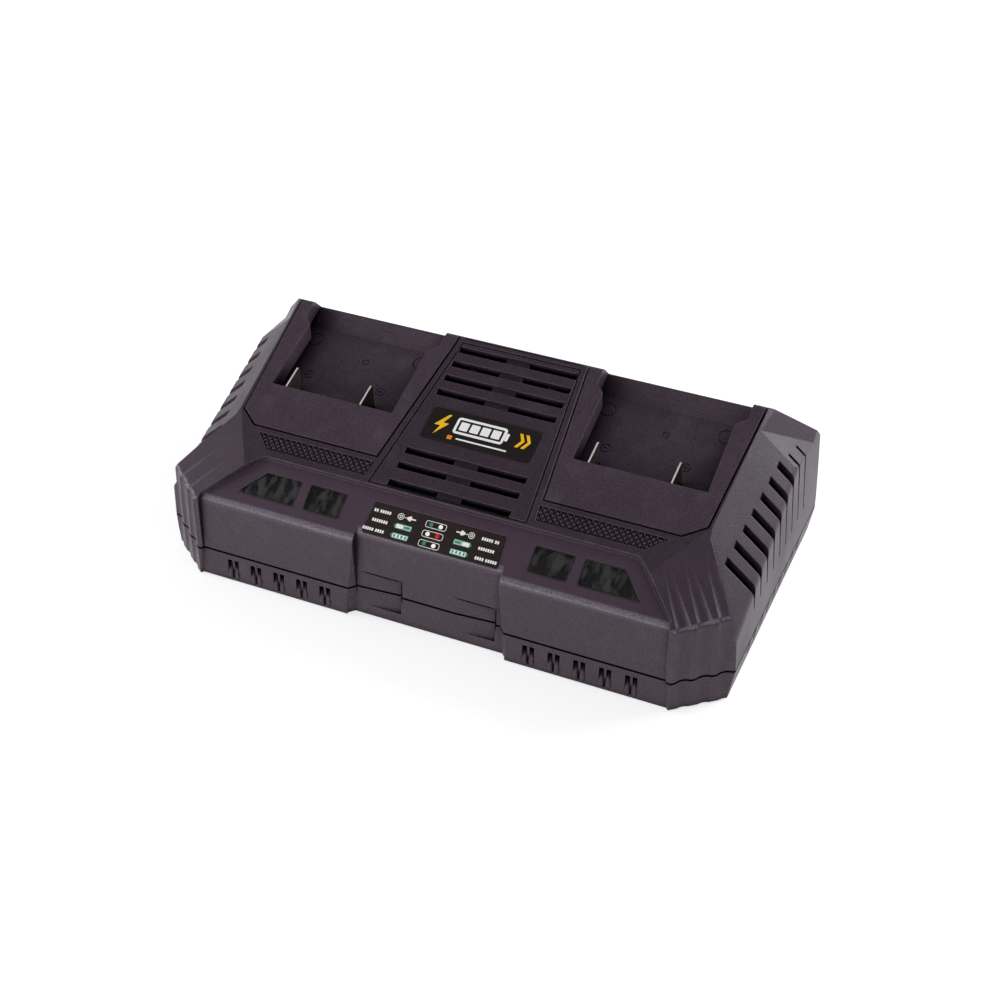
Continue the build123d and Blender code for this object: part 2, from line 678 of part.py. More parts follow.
# ================================================================ upper shell
with BuildPart() as upper_outer:
    add(housing_prism.part)
    split(bisect_by=Plane.XY.offset(PARTING_Z), keep=Keep.TOP)
    with BuildSketch(Plane.YZ) as upper_profile:
        with BuildLine():
            Polyline(
                (-BEYOND, PARTING_Z),
                (REAR_Y, PARTING_Z),
                (REAR_Y, REAR_WALL_Z),
                (RIDGE_Y, RIDGE_Z),
                (-BEYOND, top_z(-BEYOND)),
                close=True,
            )
        make_face()
        fillet(upper_profile.vertices().sort_by_distance((RIDGE_Y, RIDGE_Z, 0))[0], radius=RIDGE_RADIUS)
    extrude(amount=BEYOND, both=True, mode=Mode.INTERSECT)
    for sign in (1, -1):
        for normal, point in ((SIDE_NORMAL, SIDE_POINT), (CORNER_TOP_NORMAL, CORNER_TOP_POINT)):
            split(bisect_by=facet(flip(normal, sign), flip(point, sign)), keep=Keep.BOTTOM)
    corner_edges = upper_outer.edges().filter_by(
        lambda e: abs(e.center().X) > CHAMFER_START[0] - 3
        and e.center().Y < CHAMFER_END[1] + 6
        and e.center().Z > PARTING_Z + 20
        and abs(e.tangent_at(0.5).Z) < 0.5
        and e.length > 10
    )
    fillet(corner_edges, radius=EDGE_RADIUS)
    add(bevel_cutter.part, mode=Mode.SUBTRACT)
    folds = upper_outer.edges().filter_by(
        lambda e: abs(e.center().X) > HALF_WIDTH - 3.5
        and e.center().Z > SIDE_SLOT_TIP_Z
        and abs(e.tangent_at(0.5).Z) < 0.6
        and e.length > 40
    )
    fillet(folds, radius=FOLD_RADIUS)
    add(valley_cutter.part, mode=Mode.SUBTRACT)
    add(fascia_cutter.part, mode=Mode.SUBTRACT)
    add(centre_cutter.part, mode=Mode.SUBTRACT)
    add(flute_cutter.part, mode=Mode.SUBTRACT)

# bosses under the skin of the upper shell
with BuildPart() as upper_inside:
    with Locations(*[(sign * x, y, BOSS_JOIN) for sign in (1, -1) for x, y in HOUSING_BOSSES[1:]]):
        Cylinder(BOSS_RADIUS, ABOVE, align=UPRIGHT)
    with Locations(*[(sign * HOUSING_BOSSES[0][0], HOUSING_BOSSES[0][1], BOSS_JOIN) for sign in (1, -1)]):
        Cylinder(BOSS_RADIUS, FRONT_BOSS_HEIGHT, align=UPRIGHT)
    with Locations(*[(x, y, FAN_TOP) for x, y in FAN_HOLES]):
        Cylinder(FAN_BOSS_RADIUS, ABOVE, align=UPRIGHT)
    with Locations(*[(sign * x, INSERT_TAB_Y, TAB_TOP) for sign in (1, -1) for x in INSERT_TAB_X]):
        Cylinder(TAB_BOSS_RADIUS, ABOVE, align=UPRIGHT)
    with BuildSketch(FASCIA.offset(-PANEL_BOARD_DEPTH)):
        with Locations(*[(x, PANEL_SCREW_V) for x in PANEL_SCREW_X]):
            Circle(PANEL_BOSS_RADIUS)
    extrude(amount=PANEL_BOARD_DEPTH - 1.0)
    add(upper_outer.part, mode=Mode.INTERSECT)

# slots that run over the fold of each side
with BuildPart() as side_slots:
    for index in range(SIDE_SLOTS):
        narrow = index >= SIDE_SLOTS - SIDE_NARROW_SLOTS
        width = SIDE_NARROW_WIDTH if narrow else SIDE_SLOT_WIDTH
        neck = min(SIDE_SLOT_NECK_WIDTH, width)
        slot_y = SIDE_SLOT_FIRST_Y + index * SIDE_SLOT_PITCH
        side_x = HALF_WIDTH + SIDE_LEAN * PARTING_Z
        fold_z = (BEVEL_CONSTANT - BEVEL_NORMAL[0] * side_x - BEVEL_NORMAL[1] * slot_y) / (
            BEVEL_NORMAL[2] - BEVEL_NORMAL[0] * SIDE_LEAN
        )
        start_x = SIDE_SLOT_X + index * SIDE_SLOT_X_STEP + (SIDE_NARROW_SHIFT if narrow else 0.0)
        with BuildSketch(Plane.YZ.offset(start_x)):
            with BuildLine():
                Polyline(
                    (slot_y - width / 2, ABOVE),
                    (slot_y + width / 2, ABOVE),
                    (slot_y + width / 2, fold_z + 0.5),
                    (slot_y + neck / 2, fold_z - SIDE_SLOT_NECK),
                    (slot_y + SIDE_SLOT_TIP_WIDTH / 2, SIDE_SLOT_TIP_Z),
                    (slot_y - SIDE_SLOT_TIP_WIDTH / 2, SIDE_SLOT_TIP_Z),
                    (slot_y - neck / 2, fold_z - SIDE_SLOT_NECK),
                    (slot_y - width / 2, fold_z + 0.5),
                    close=True,
                )
            make_face()
        extrude(amount=BEYOND - start_x)
    mirror(about=Plane.YZ)

# openings for the bay inserts
with BuildPart() as bay_openings:
    with BuildSketch(Plane.XY.offset(FAN_Z)):
        with BuildLine():
            Polyline(*INSERT_OUTLINE, close=True)
        make_face()
        offset(amount=INSERT_GAP, kind=Kind.INTERSECTION)
    extrude(amount=ABOVE)
    # softened upper edge
    with BuildSketch(TOP):
        with BuildLine():
            Polyline(*[(x, on_top(y)) for x, y in INSERT_OUTLINE], close=True)
        make_face()
        offset(amount=INSERT_GAP + INSERT_EDGE, kind=Kind.INTERSECTION)
    extrude(amount=-INSERT_EDGE, taper=45)
    mirror(about=Plane.YZ)

# ledges that carry the rear rim of each insert
with BuildPart() as rear_ledges:
    with BuildSketch(Plane.YZ.offset(BAY_X - LEDGE[0] / 2)):
        with BuildLine():
            ledge_y = (INSERT_REAR_Y - LEDGE[1], INSERT_REAR_Y + 2 * LEDGE[1])
            Polyline(
                (ledge_y[0], rear_z(ledge_y[0]) - RIM_THICK),
                (ledge_y[1], rear_z(ledge_y[1]) - RIM_THICK),
                (ledge_y[1], rear_z(ledge_y[1]) - RIM_THICK - LEDGE[2]),
                (ledge_y[0], rear_z(ledge_y[0]) - RIM_THICK - LEDGE[2]),
                close=True,
            )
        make_face()
    extrude(amount=LEDGE[0])
    mirror(about=Plane.YZ)

# thumb recesses, which run over the joint between the shells
with BuildPart() as thumb_cutter:
    base_y = front_y(THUMB_BOTTOM, CENTRE_RECESS)
    with BuildSketch(Plane.XY.offset(THUMB_BOTTOM)):
        for right_edge in THUMB_X:
            with BuildLine():
                Polyline(
                    (right_edge - THUMB_WIDTH, base_y),
                    (right_edge, base_y + THUMB_DEPTH),
                    (right_edge, base_y - 2.0),
                    (right_edge - THUMB_WIDTH, base_y - 2.0),
                    close=True,
                )
            make_face()
    extrude(amount=THUMB_TOP - THUMB_BOTTOM, dir=(0, FRONT_LEAN, 1))

with BuildPart() as upper_shell:
    add(upper_outer.part)
    add(cavity.part, mode=Mode.SUBTRACT)
    add(upper_inside.part)
    add(bay_openings.part, mode=Mode.SUBTRACT)
    add(rear_ledges.part)
    add(side_slots.part, mode=Mode.SUBTRACT)
    add(thumb_cutter.part, mode=Mode.SUBTRACT)
    # grille: each row is a shallow channel with an open slot in either half
    with BuildSketch(TOP):
        with Locations(*[(0, on_top(y)) for y in GRILLE_ROWS]):
            Rectangle(2 * GRILLE_OUTER_X, GRILLE_SLOT)
    extrude(amount=-GRILLE_BRIDGE_DEPTH, mode=Mode.SUBTRACT)
    with BuildSketch(TOP):
        for sign in (1, -1):
            with Locations(*[(sign * GRILLE_MIDDLE_X, on_top(y)) for y in GRILLE_ROWS]):
                Rectangle(GRILLE_OUTER_X - GRILLE_INNER_X, GRILLE_SLOT)
    extrude(amount=-(WALL + 1.0), mode=Mode.SUBTRACT)
    # panel border and the grooves beside the ridge
    with BuildSketch(TOP):
        with BuildLine():
            Polyline(
                (PANEL_FRONT[0], on_top(PANEL_FRONT[1])),
                (PANEL_REAR[0], on_top(PANEL_REAR[1])),
                (-PANEL_REAR[0], on_top(PANEL_REAR[1])),
                (-PANEL_FRONT[0], on_top(PANEL_FRONT[1])),
                close=True,
            )
        make_face()
        offset(amount=-PANEL_RIM, kind=Kind.INTERSECTION, mode=Mode.SUBTRACT)
    extrude(amount=-PANEL_GROOVE, mode=Mode.SUBTRACT)
    with BuildSketch(TOP):
        with Locations((0, on_top(RIDGE_Y - 1.3))):
            Rectangle(2 * PANEL_REAR[0], PANEL_RIM)
    extrude(amount=-PANEL_GROOVE, mode=Mode.SUBTRACT)
    # seats of the name plate and the status label
    with BuildSketch(TOP):
        with Locations((0, on_top(NAME_PLATE_Y))):
            RectangleRounded(
                NAME_PLATE[0] + 2 * PLATE_GAP, NAME_PLATE[1] + 2 * PLATE_GAP, PLATE_CORNER + PLATE_GAP
            )
    extrude(amount=-PLATE_RECESS, mode=Mode.SUBTRACT)
    with BuildSketch(FASCIA):
        with BuildLine():
            Polyline(*LABEL_OUTLINE, close=True)
        make_face()
        offset(amount=PLATE_GAP, kind=Kind.INTERSECTION)
    extrude(amount=-LABEL_RECESS, mode=Mode.SUBTRACT)
    with BuildSketch(FASCIA):
        with Locations(*[(x, on_fascia(y)) for x in LAMP_X for y in LAMP_ROWS]):
            Circle(LAMP_DIAMETER / 2 + LAMP_GAP)
    extrude(amount=-(WALL + 2.0), mode=Mode.SUBTRACT)
    # window openings
    with BuildSketch(FASCIA):
        for outline in WINDOWS.values():
            for sign in (1, -1):
                with BuildLine():
                    Polyline(*[(sign * x, on_fascia(y)) for x, y in outline], close=True)
                make_face()
    extrude(amount=-(WALL + 1.0), mode=Mode.SUBTRACT)
    # seats of the knurled grip strips
    with BuildSketch(TOP):
        for sign in (1, -1):
            with BuildLine():
                Polyline(*[(sign * x, on_top(y)) for x, y in STRIP_OUTLINE], close=True)
            make_face()
    extrude(amount=-STRIP_DEPTH, mode=Mode.SUBTRACT)
    # mains inlet
    with Locations((INLET_X, REAR_Y, INLET_Z + INLET[2] / 2)):
        Box(INLET[0] + 2 * INLET_GAP, 4 * WALL, INLET[2] + 2 * INLET_GAP, mode=Mode.SUBTRACT)
    # screw holes
    with Locations(*[(sign * x, y, BOSS_JOIN) for sign in (1, -1) for x, y in HOUSING_BOSSES]):
        Cylinder(SCREW_RADIUS + SCREW_GAP, SCREW_DEPTH, align=UPRIGHT, mode=Mode.SUBTRACT)
    with Locations(*[(x, y, FAN_TOP) for x, y in FAN_HOLES]):
        Cylinder(SMALL_SCREW_RADIUS + SCREW_GAP, FAN_SCREW_DEPTH, align=UPRIGHT, mode=Mode.SUBTRACT)
    with Locations(*[(sign * x, INSERT_TAB_Y, TAB_TOP) for sign in (1, -1) for x in INSERT_TAB_X]):
        Cylinder(SMALL_SCREW_RADIUS + SCREW_GAP, TAB_SCREW_DEPTH, align=UPRIGHT, mode=Mode.SUBTRACT)
    with BuildSketch(FASCIA.offset(-PANEL_BOARD_DEPTH)):
        with Locations(*[(x, PANEL_SCREW_V) for x in PANEL_SCREW_X]):
            Circle(SMALL_SCREW_RADIUS + SCREW_GAP)
    extrude(amount=PANEL_SCREW_DEPTH, mode=Mode.SUBTRACT)

upper_shell.part.label = "upper_shell"
export_step(upper_shell.part, "parts/upper_shell.step")

# ================================================================ lower shell
with BuildPart() as lower_outer:
    add(housing_prism.part)
    split(bisect_by=Plane.XY.offset(PARTING_Z - PARTING_GAP), keep=Keep.BOTTOM)
    with BuildSketch(Plane.XZ):
        with BuildLine():
            Polyline(
                (0, FOOT_RISE),
                (HALF_WIDTH - SIDE_TAPER, FOOT_RISE),
                (HALF_WIDTH, PARTING_Z - PARTING_GAP),
                (0, PARTING_Z - PARTING_GAP),
                close=True,
            )
        make_face()
        mirror(about=Plane.YZ)
    extrude(amount=BEYOND, both=True, mode=Mode.INTERSECT)
    with BuildSketch(Plane.YZ):
        with BuildLine():
            Polyline(
                (-BEYOND, FOOT_RISE),
                (REAR_Y - REAR_TAPER, FOOT_RISE),
                (REAR_Y, PARTING_Z - PARTING_GAP),
                (-BEYOND, PARTING_Z - PARTING_GAP),
                close=True,
            )
        make_face()
    extrude(amount=BEYOND, both=True, mode=Mode.INTERSECT)
    add(fascia_cutter.part, mode=Mode.SUBTRACT)
    add(centre_cutter.part, mode=Mode.SUBTRACT)
    add(flute_cutter.part, mode=Mode.SUBTRACT)

# tongue that stands up inside the upper shell all round
with BuildPart() as tongue:
    with BuildSketch(Plane.XY.offset(PARTING_Z - PARTING_GAP - TONGUE_ROOT)):
        with BuildLine():
            Polyline(*TONGUE_OUTLINE, close=True)
        make_face()
        mirror(about=Plane.YZ)
        offset(amount=TONGUE_SPREAD, kind=Kind.INTERSECTION)
        with BuildLine():
            Polyline(*TONGUE_OUTLINE, close=True)
        inner = make_face(mode=Mode.PRIVATE)
        add(inner, mode=Mode.SUBTRACT)
        mirror(inner, about=Plane.YZ, mode=Mode.SUBTRACT)
    extrude(amount=TONGUE_ROOT)
    add(lower_outer.part, mode=Mode.INTERSECT)
    with BuildSketch(Plane.XY.offset(PARTING_Z - PARTING_GAP - TONGUE_ROOT)):
        with BuildLine():
            Polyline(*TONGUE_OUTLINE, close=True)
        make_face()
        mirror(about=Plane.YZ)
        offset(amount=-TONGUE_THICK, kind=Kind.INTERSECTION, mode=Mode.SUBTRACT)
    extrude(amount=TONGUE_ROOT + PARTING_GAP + TONGUE_HEIGHT)
    with Locations(*[(sign * x, y, PARTING_Z - PARTING_GAP) for sign in (1, -1) for x, y in HOUSING_BOSSES]):
        Cylinder(BOSS_RADIUS + TONGUE_GAP, ABOVE, align=UPRIGHT, mode=Mode.SUBTRACT)
    with Locations((INLET_X, REAR_Y, PARTING_Z - PARTING_GAP)):
        Box(
            INLET[0] + 4 * INLET_GAP,
            8 * WALL,
            ABOVE,
            align=(Align.CENTER, Align.CENTER, Align.MIN),
            mode=Mode.SUBTRACT,
        )

with BuildPart() as lower_shell:
    add(lower_outer.part)
    add(cavity.part, mode=Mode.SUBTRACT)
    add(tongue.part)
    with Locations(*[(sign * x, y, FLOOR_TOP) for sign in (1, -1) for x, y in HOUSING_BOSSES]):
        Cylinder(BOSS_RADIUS, BOSS_JOIN - FLOOR_TOP, align=UPRIGHT)
    with Locations(*[(x, y, FLOOR_TOP) for x, y in BOARD_HOLES]):
        Cylinder(STANDOFF_RADIUS, STANDOFF, align=UPRIGHT)
    with Locations(*[(sign * KEYHOLE_SPACING / 2, KEYHOLE_Y + KEYHOLE_RUN / 2, FLOOR_TOP) for sign in (1, -1)]):
        Box(
            2 * KEYHOLE_HEAD + 6.0,
            2 * KEYHOLE_HEAD + KEYHOLE_RUN + 6.0,
            KEYHOLE_POCKET + 1.2,
            align=(Align.CENTER, Align.CENTER, Align.MIN),
        )
        Box(
            2 * KEYHOLE_HEAD + 3.6,
            2 * KEYHOLE_HEAD + KEYHOLE_RUN + 3.6,
            KEYHOLE_POCKET,
            align=(Align.CENTER, Align.CENTER, Align.MIN),
            mode=Mode.SUBTRACT,
        )
    # keyholes for hanging on a wall
    with BuildSketch(Plane.XY.offset(FOOT_RISE)):
        for sign in (1, -1):
            with Locations((sign * KEYHOLE_SPACING / 2, KEYHOLE_Y)):
                Circle(KEYHOLE_HEAD)
            with Locations((sign * KEYHOLE_SPACING / 2, KEYHOLE_Y + KEYHOLE_RUN / 2)):
                SlotCenterToCenter(KEYHOLE_RUN, 2 * KEYHOLE_SLOT, rotation=90)
    extrude(amount=FLOOR, mode=Mode.SUBTRACT)
    # screw seats and holes
    with Locations(*[(sign * x, y, 0) for sign in (1, -1) for x, y in HOUSING_BOSSES]):
        Cylinder(SCREW_HEAD / 2 + 0.5, SCREW_SEAT, align=UPRIGHT, mode=Mode.SUBTRACT)
        Cylinder(SCREW_RADIUS + 0.2, BOSS_JOIN, align=UPRIGHT, mode=Mode.SUBTRACT)
    with Locations(*[(x, y, FLOOR_TOP) for x, y in BOARD_HOLES]):
        Cylinder(SMALL_SCREW_RADIUS + SCREW_GAP, STANDOFF, align=UPRIGHT, mode=Mode.SUBTRACT)
    with Locations(*[(sign * FOOT_X, y, 0) for sign in (1, -1) for y in FOOT_Y]):
        Cylinder(FOOT_RADIUS + 0.1, FOOT_RISE + FOOT_RECESS, align=UPRIGHT, mode=Mode.SUBTRACT)
    # air slots in the floor
    with BuildSketch(Plane.XY.offset(FOOT_RISE)):
        with Locations(*[(0, FAN_Y)]):
            with GridLocations(FLOOR_VENT_PITCH, 1, FLOOR_VENTS, 1):
                SlotOverall(FLOOR_VENT_LENGTH, FLOOR_VENT_WIDTH, rotation=90)
    extrude(amount=FLOOR, mode=Mode.SUBTRACT)
    # vents in the front wall, each with a sloping sill
    with BuildSketch(Plane.YZ) as vent_profile:
        with BuildLine():
            Polyline(
                (-BEYOND, -5.0),
                (front_y(0) - 1.0, -5.0),
                (front_y(FOOT_RISE) - 0.2, FOOT_RISE + 0.5),
                (front_y(FLOOR_TOP) + WALL, FLOOR_TOP + 0.2),
                (front_y(FLOOR_TOP) + WALL + 2.0, FRONT_VENT_TOP),
                (-BEYOND, FRONT_VENT_TOP),
                close=True,
            )
        make_face()
    for sign in (1, -1):
        for index in range(FRONT_VENTS):
            vent_x = sign * (FRONT_VENT_X + index * FRONT_VENT_PITCH)
            with Locations((vent_x, 0, 0)):
                add(
                    extrude(vent_profile.sketch, amount=FRONT_VENT_WIDTH / 2, both=True, mode=Mode.PRIVATE),
                    mode=Mode.SUBTRACT,
                )
            # a thin rib divides each vent
            with Locations((vent_x, front_y(FLOOR_TOP) + WALL, FOOT_RISE)):
                Box(VENT_RIB, 1.6, FRONT_VENT_TOP, align=(Align.CENTER, Align.MAX, Align.MIN))
    # vents along the sides
    for index in range(SIDE_SLOTS):
        vent_y = SIDE_SLOT_FIRST_Y + (index - 0.5) * SIDE_SLOT_PITCH
        with Locations((0, vent_y, (SIDE_VENT_Z + PARTING_Z - PARTING_GAP - 0.7) / 2)):
            Box(
                4 * HALF_WIDTH,
                SIDE_VENT_WIDTH,
                PARTING_Z - PARTING_GAP - 0.7 - SIDE_VENT_Z,
                mode=Mode.SUBTRACT,
            )
    add(thumb_cutter.part, mode=Mode.SUBTRACT)

lower_shell.part.label = "lower_shell"
export_step(lower_shell.part, "parts/lower_shell.step")

# ================================================================ battery bays
# space of the right-hand bay, open at the top
with BuildPart() as bay_space:
    with BuildSketch(Plane.XY.offset(FAN_Z)) as bay_outline:
        with BuildLine():
            Polyline(*BAY_OPENING, close=True)
        make_face()
        notches = bay_outline.vertices().filter_by(lambda v: RAIL_REAR_Y - 1 < v.Y < RAIL_CUT_Y + 1)
        fillet(notches, radius=RAIL_CORNER)
    extrude(amount=ABOVE)
    split(bisect_by=BAY_FLOOR, keep=Keep.TOP)
    with BuildSketch(BAY_FLOOR):
        with Locations((BAY_X, under_top(BAY_FRONT_Y, BAY_DEPTH))):
            Rectangle(2 * GROOVE_HALF, BEYOND, align=(Align.CENTER, Align.MIN))
    extrude(amount=GROOVE_HEIGHT)
    split(bisect_by=RAMP, keep=Keep.TOP)

# right-hand bay without its contacts: plate, rails, floor, ramp, lip and screw tabs
with BuildPart() as bay_body:
    with BuildSketch(Plane.XY.offset(FAN_Z)):
        with BuildLine():
            Polyline(*INSERT_OUTLINE, close=True)
        make_face()
    extrude(amount=ABOVE)
    with BuildSketch(BAY_UNDER):
        with Locations((BAY_X, under_top(BAY_FRONT_Y - BAY_WALL, BAY_UNDERSIDE))):
            Rectangle(
                2 * (GROOVE_HALF + TUB_WALL),
                INSERT_SIDE_END_Y - BAY_FRONT_Y,
                align=(Align.CENTER, Align.MIN),
            )
    extrude(amount=BAY_FLOOR_THICK + GROOVE_HEIGHT)
    with BuildSketch(Plane.YZ) as bay_profile:
        rim_y = RAMP_TOP_Y + BAY_FLOOR_THICK / 2
        with BuildLine():
            Polyline(
                (-BEYOND, under_z(-BEYOND, BAY_UNDERSIDE)),
                (RAMP_FOOT_Y + BAY_FLOOR_THICK / 2, under_z(RAMP_FOOT_Y + BAY_FLOOR_THICK / 2, BAY_UNDERSIDE)),
                (rim_y, rear_z(rim_y) - RIM_THICK),
                (INSERT_REAR_Y, rear_z(INSERT_REAR_Y) - RIM_THICK),
                (INSERT_REAR_Y, rear_z(INSERT_REAR_Y)),
                (RIDGE_Y, RIDGE_Z),
                (-BEYOND, top_z(-BEYOND)),
                close=True,
            )
        make_face()
        fillet(bay_profile.vertices().sort_by_distance((RIDGE_Y, RIDGE_Z, 0))[0], radius=RIDGE_RADIUS)
    extrude(amount=BEYOND, mode=Mode.INTERSECT)
    # the apron in front of the bay is a plate with a wall round it
    apron_y = (INSERT_FRONT_Y + TUB_WALL, BAY_FRONT_Y - BAY_WALL)
    with BuildSketch(Plane.YZ.offset(INSERT_INNER_FRONT_X + TUB_WALL)):
        with BuildLine():
            Polyline(
                (apron_y[0], under_z(apron_y[0], APRON_THICK)),
                (apron_y[1], under_z(apron_y[1], APRON_THICK)),
                (apron_y[1], 0),
                (apron_y[0], 0),
                close=True,
            )
        make_face()
    extrude(amount=INSERT_CHAMFER_X - INSERT_INNER_FRONT_X - 2 * TUB_WALL, mode=Mode.SUBTRACT)
    with Locations((0, BAY_FRONT_Y - BAY_WALL, TAB_TOP - TAB_THICK)):
        Box(2 * BEYOND, BEYOND, ABOVE, align=(Align.CENTER, Align.MAX, Align.MAX), mode=Mode.SUBTRACT)
    # lip under the skin at the front and the inner side
    with BuildSketch(TOP.offset(-WALL - SKIN_GAP)):
        with BuildLine():
            Polyline(
                (INSERT_INNER_FRONT_X - LIP, on_top(INSERT_FRONT_Y - LIP)),
                (INSERT_CHAMFER_X, on_top(INSERT_FRONT_Y - LIP)),
                (INSERT_CHAMFER_X, on_top(INSERT_FRONT_Y + TUB_WALL)),
                (INSERT_INNER_FRONT_X + TUB_WALL, on_top(INSERT_FRONT_Y + TUB_WALL)),
                (INSERT_INNER_REAR_X + TUB_WALL, on_top(INSERT_SIDE_END_Y)),
                (INSERT_INNER_REAR_X - LIP, on_top(INSERT_SIDE_END_Y)),
                close=True,
            )
        make_face()
    extrude(amount=-LIP)
    # screw tabs in front
    with Locations(*[(x, INSERT_FRONT_Y + TUB_WALL, TAB_TOP) for x in INSERT_TAB_X]):
        Box(10.0, INSERT_FRONT_Y - INSERT_TAB_Y + 5.6, TAB_THICK, align=(Align.CENTER, Align.MAX, Align.MAX))
    with Locations(*[(x, INSERT_TAB_Y, TAB_TOP) for x in INSERT_TAB_X]):
        Cylinder(SMALL_SCREW_RADIUS + 0.2, TAB_THICK, align=HANGING, mode=Mode.SUBTRACT)
    add(bay_space.part, mode=Mode.SUBTRACT)
    # soft upper edge of the ramp
    with BuildSketch(Plane.YZ.offset(BAY_INNER_X[2])) as rim_sketch:
        with BuildLine():
            Polyline(*RIM_CORNER, close=True)
        make_face()
        with BuildSketch(mode=Mode.PRIVATE) as rounded_rim:
            with BuildLine():
                Polyline(*RIM_CORNER, close=True)
            make_face()
            fillet(rounded_rim.vertices().sort_by_distance((*RIM_CORNER[1], 0))[0], radius=RIM_RADIUS)
        add(rounded_rim.sketch, mode=Mode.SUBTRACT)
    extrude(amount=BAY_OUTER_X[2] - BAY_INNER_X[2], mode=Mode.SUBTRACT)

for side, sign in (("right", 1), ("left", -1)):
    with BuildPart() as insert:
        if sign > 0:
            add(bay_body.part)
        else:
            mirror(bay_body.part, about=Plane.YZ)
        # slots for the two contact blades
        with Locations(*[(sign * BAY_X + x, BLADE_FRONT_Y - 0.3, FAN_Z) for x in BLADE_X]):
            Box(
                BLADE_THICK + 2 * BLADE_GAP,
                BLADE_REAR_Y - BLADE_FRONT_Y + 0.6,
                ABOVE,
                align=(Align.CENTER, Align.MIN, Align.MIN),
                mode=Mode.SUBTRACT,
            )
        # pegs that hold the contact carrier
        with Locations(BAY_UNDER):
            with Locations(*[(sign * BAY_X + x, v, 0) for x, v in PEG_PLACES]):
                Cylinder(PEG_RADIUS, EAR_THICK + PEG_HEAD, align=HANGING)
            with Locations(*[(sign * BAY_X + x, v, -EAR_THICK) for x, v in PEG_PLACES]):
                Cylinder(PEG_RADIUS + 1.0, PEG_HEAD, align=HANGING)
        # signs and ejector marks moulded in the floor
        with BuildSketch(BAY_FLOOR):
            with Locations(*[(sign * BAY_X + x, under_top(y, BAY_DEPTH)) for x, y in FLOOR_SIGNS]):
                Circle(SIGN_RADIUS)
                Circle(SIGN_RADIUS - SIGN_LINE, mode=Mode.SUBTRACT)
                Rectangle(SIGN_RADIUS, SIGN_LINE)
            with Locations((sign * BAY_X + FLOOR_SIGNS[1][0], under_top(FLOOR_SIGNS[1][1], BAY_DEPTH))):
                Rectangle(SIGN_LINE, SIGN_RADIUS)
            for x, y, radius in EJECTORS:
                with Locations((sign * BAY_X + x, under_top(y, BAY_DEPTH))):
                    Circle(radius)
                    Circle(radius - SIGN_LINE, mode=Mode.SUBTRACT)
        extrude(amount=-SIGN_DEPTH, mode=Mode.SUBTRACT)
    insert.part.label = f"bay_insert_{side}"
    export_step(insert.part, f"parts/bay_insert_{side}.step")

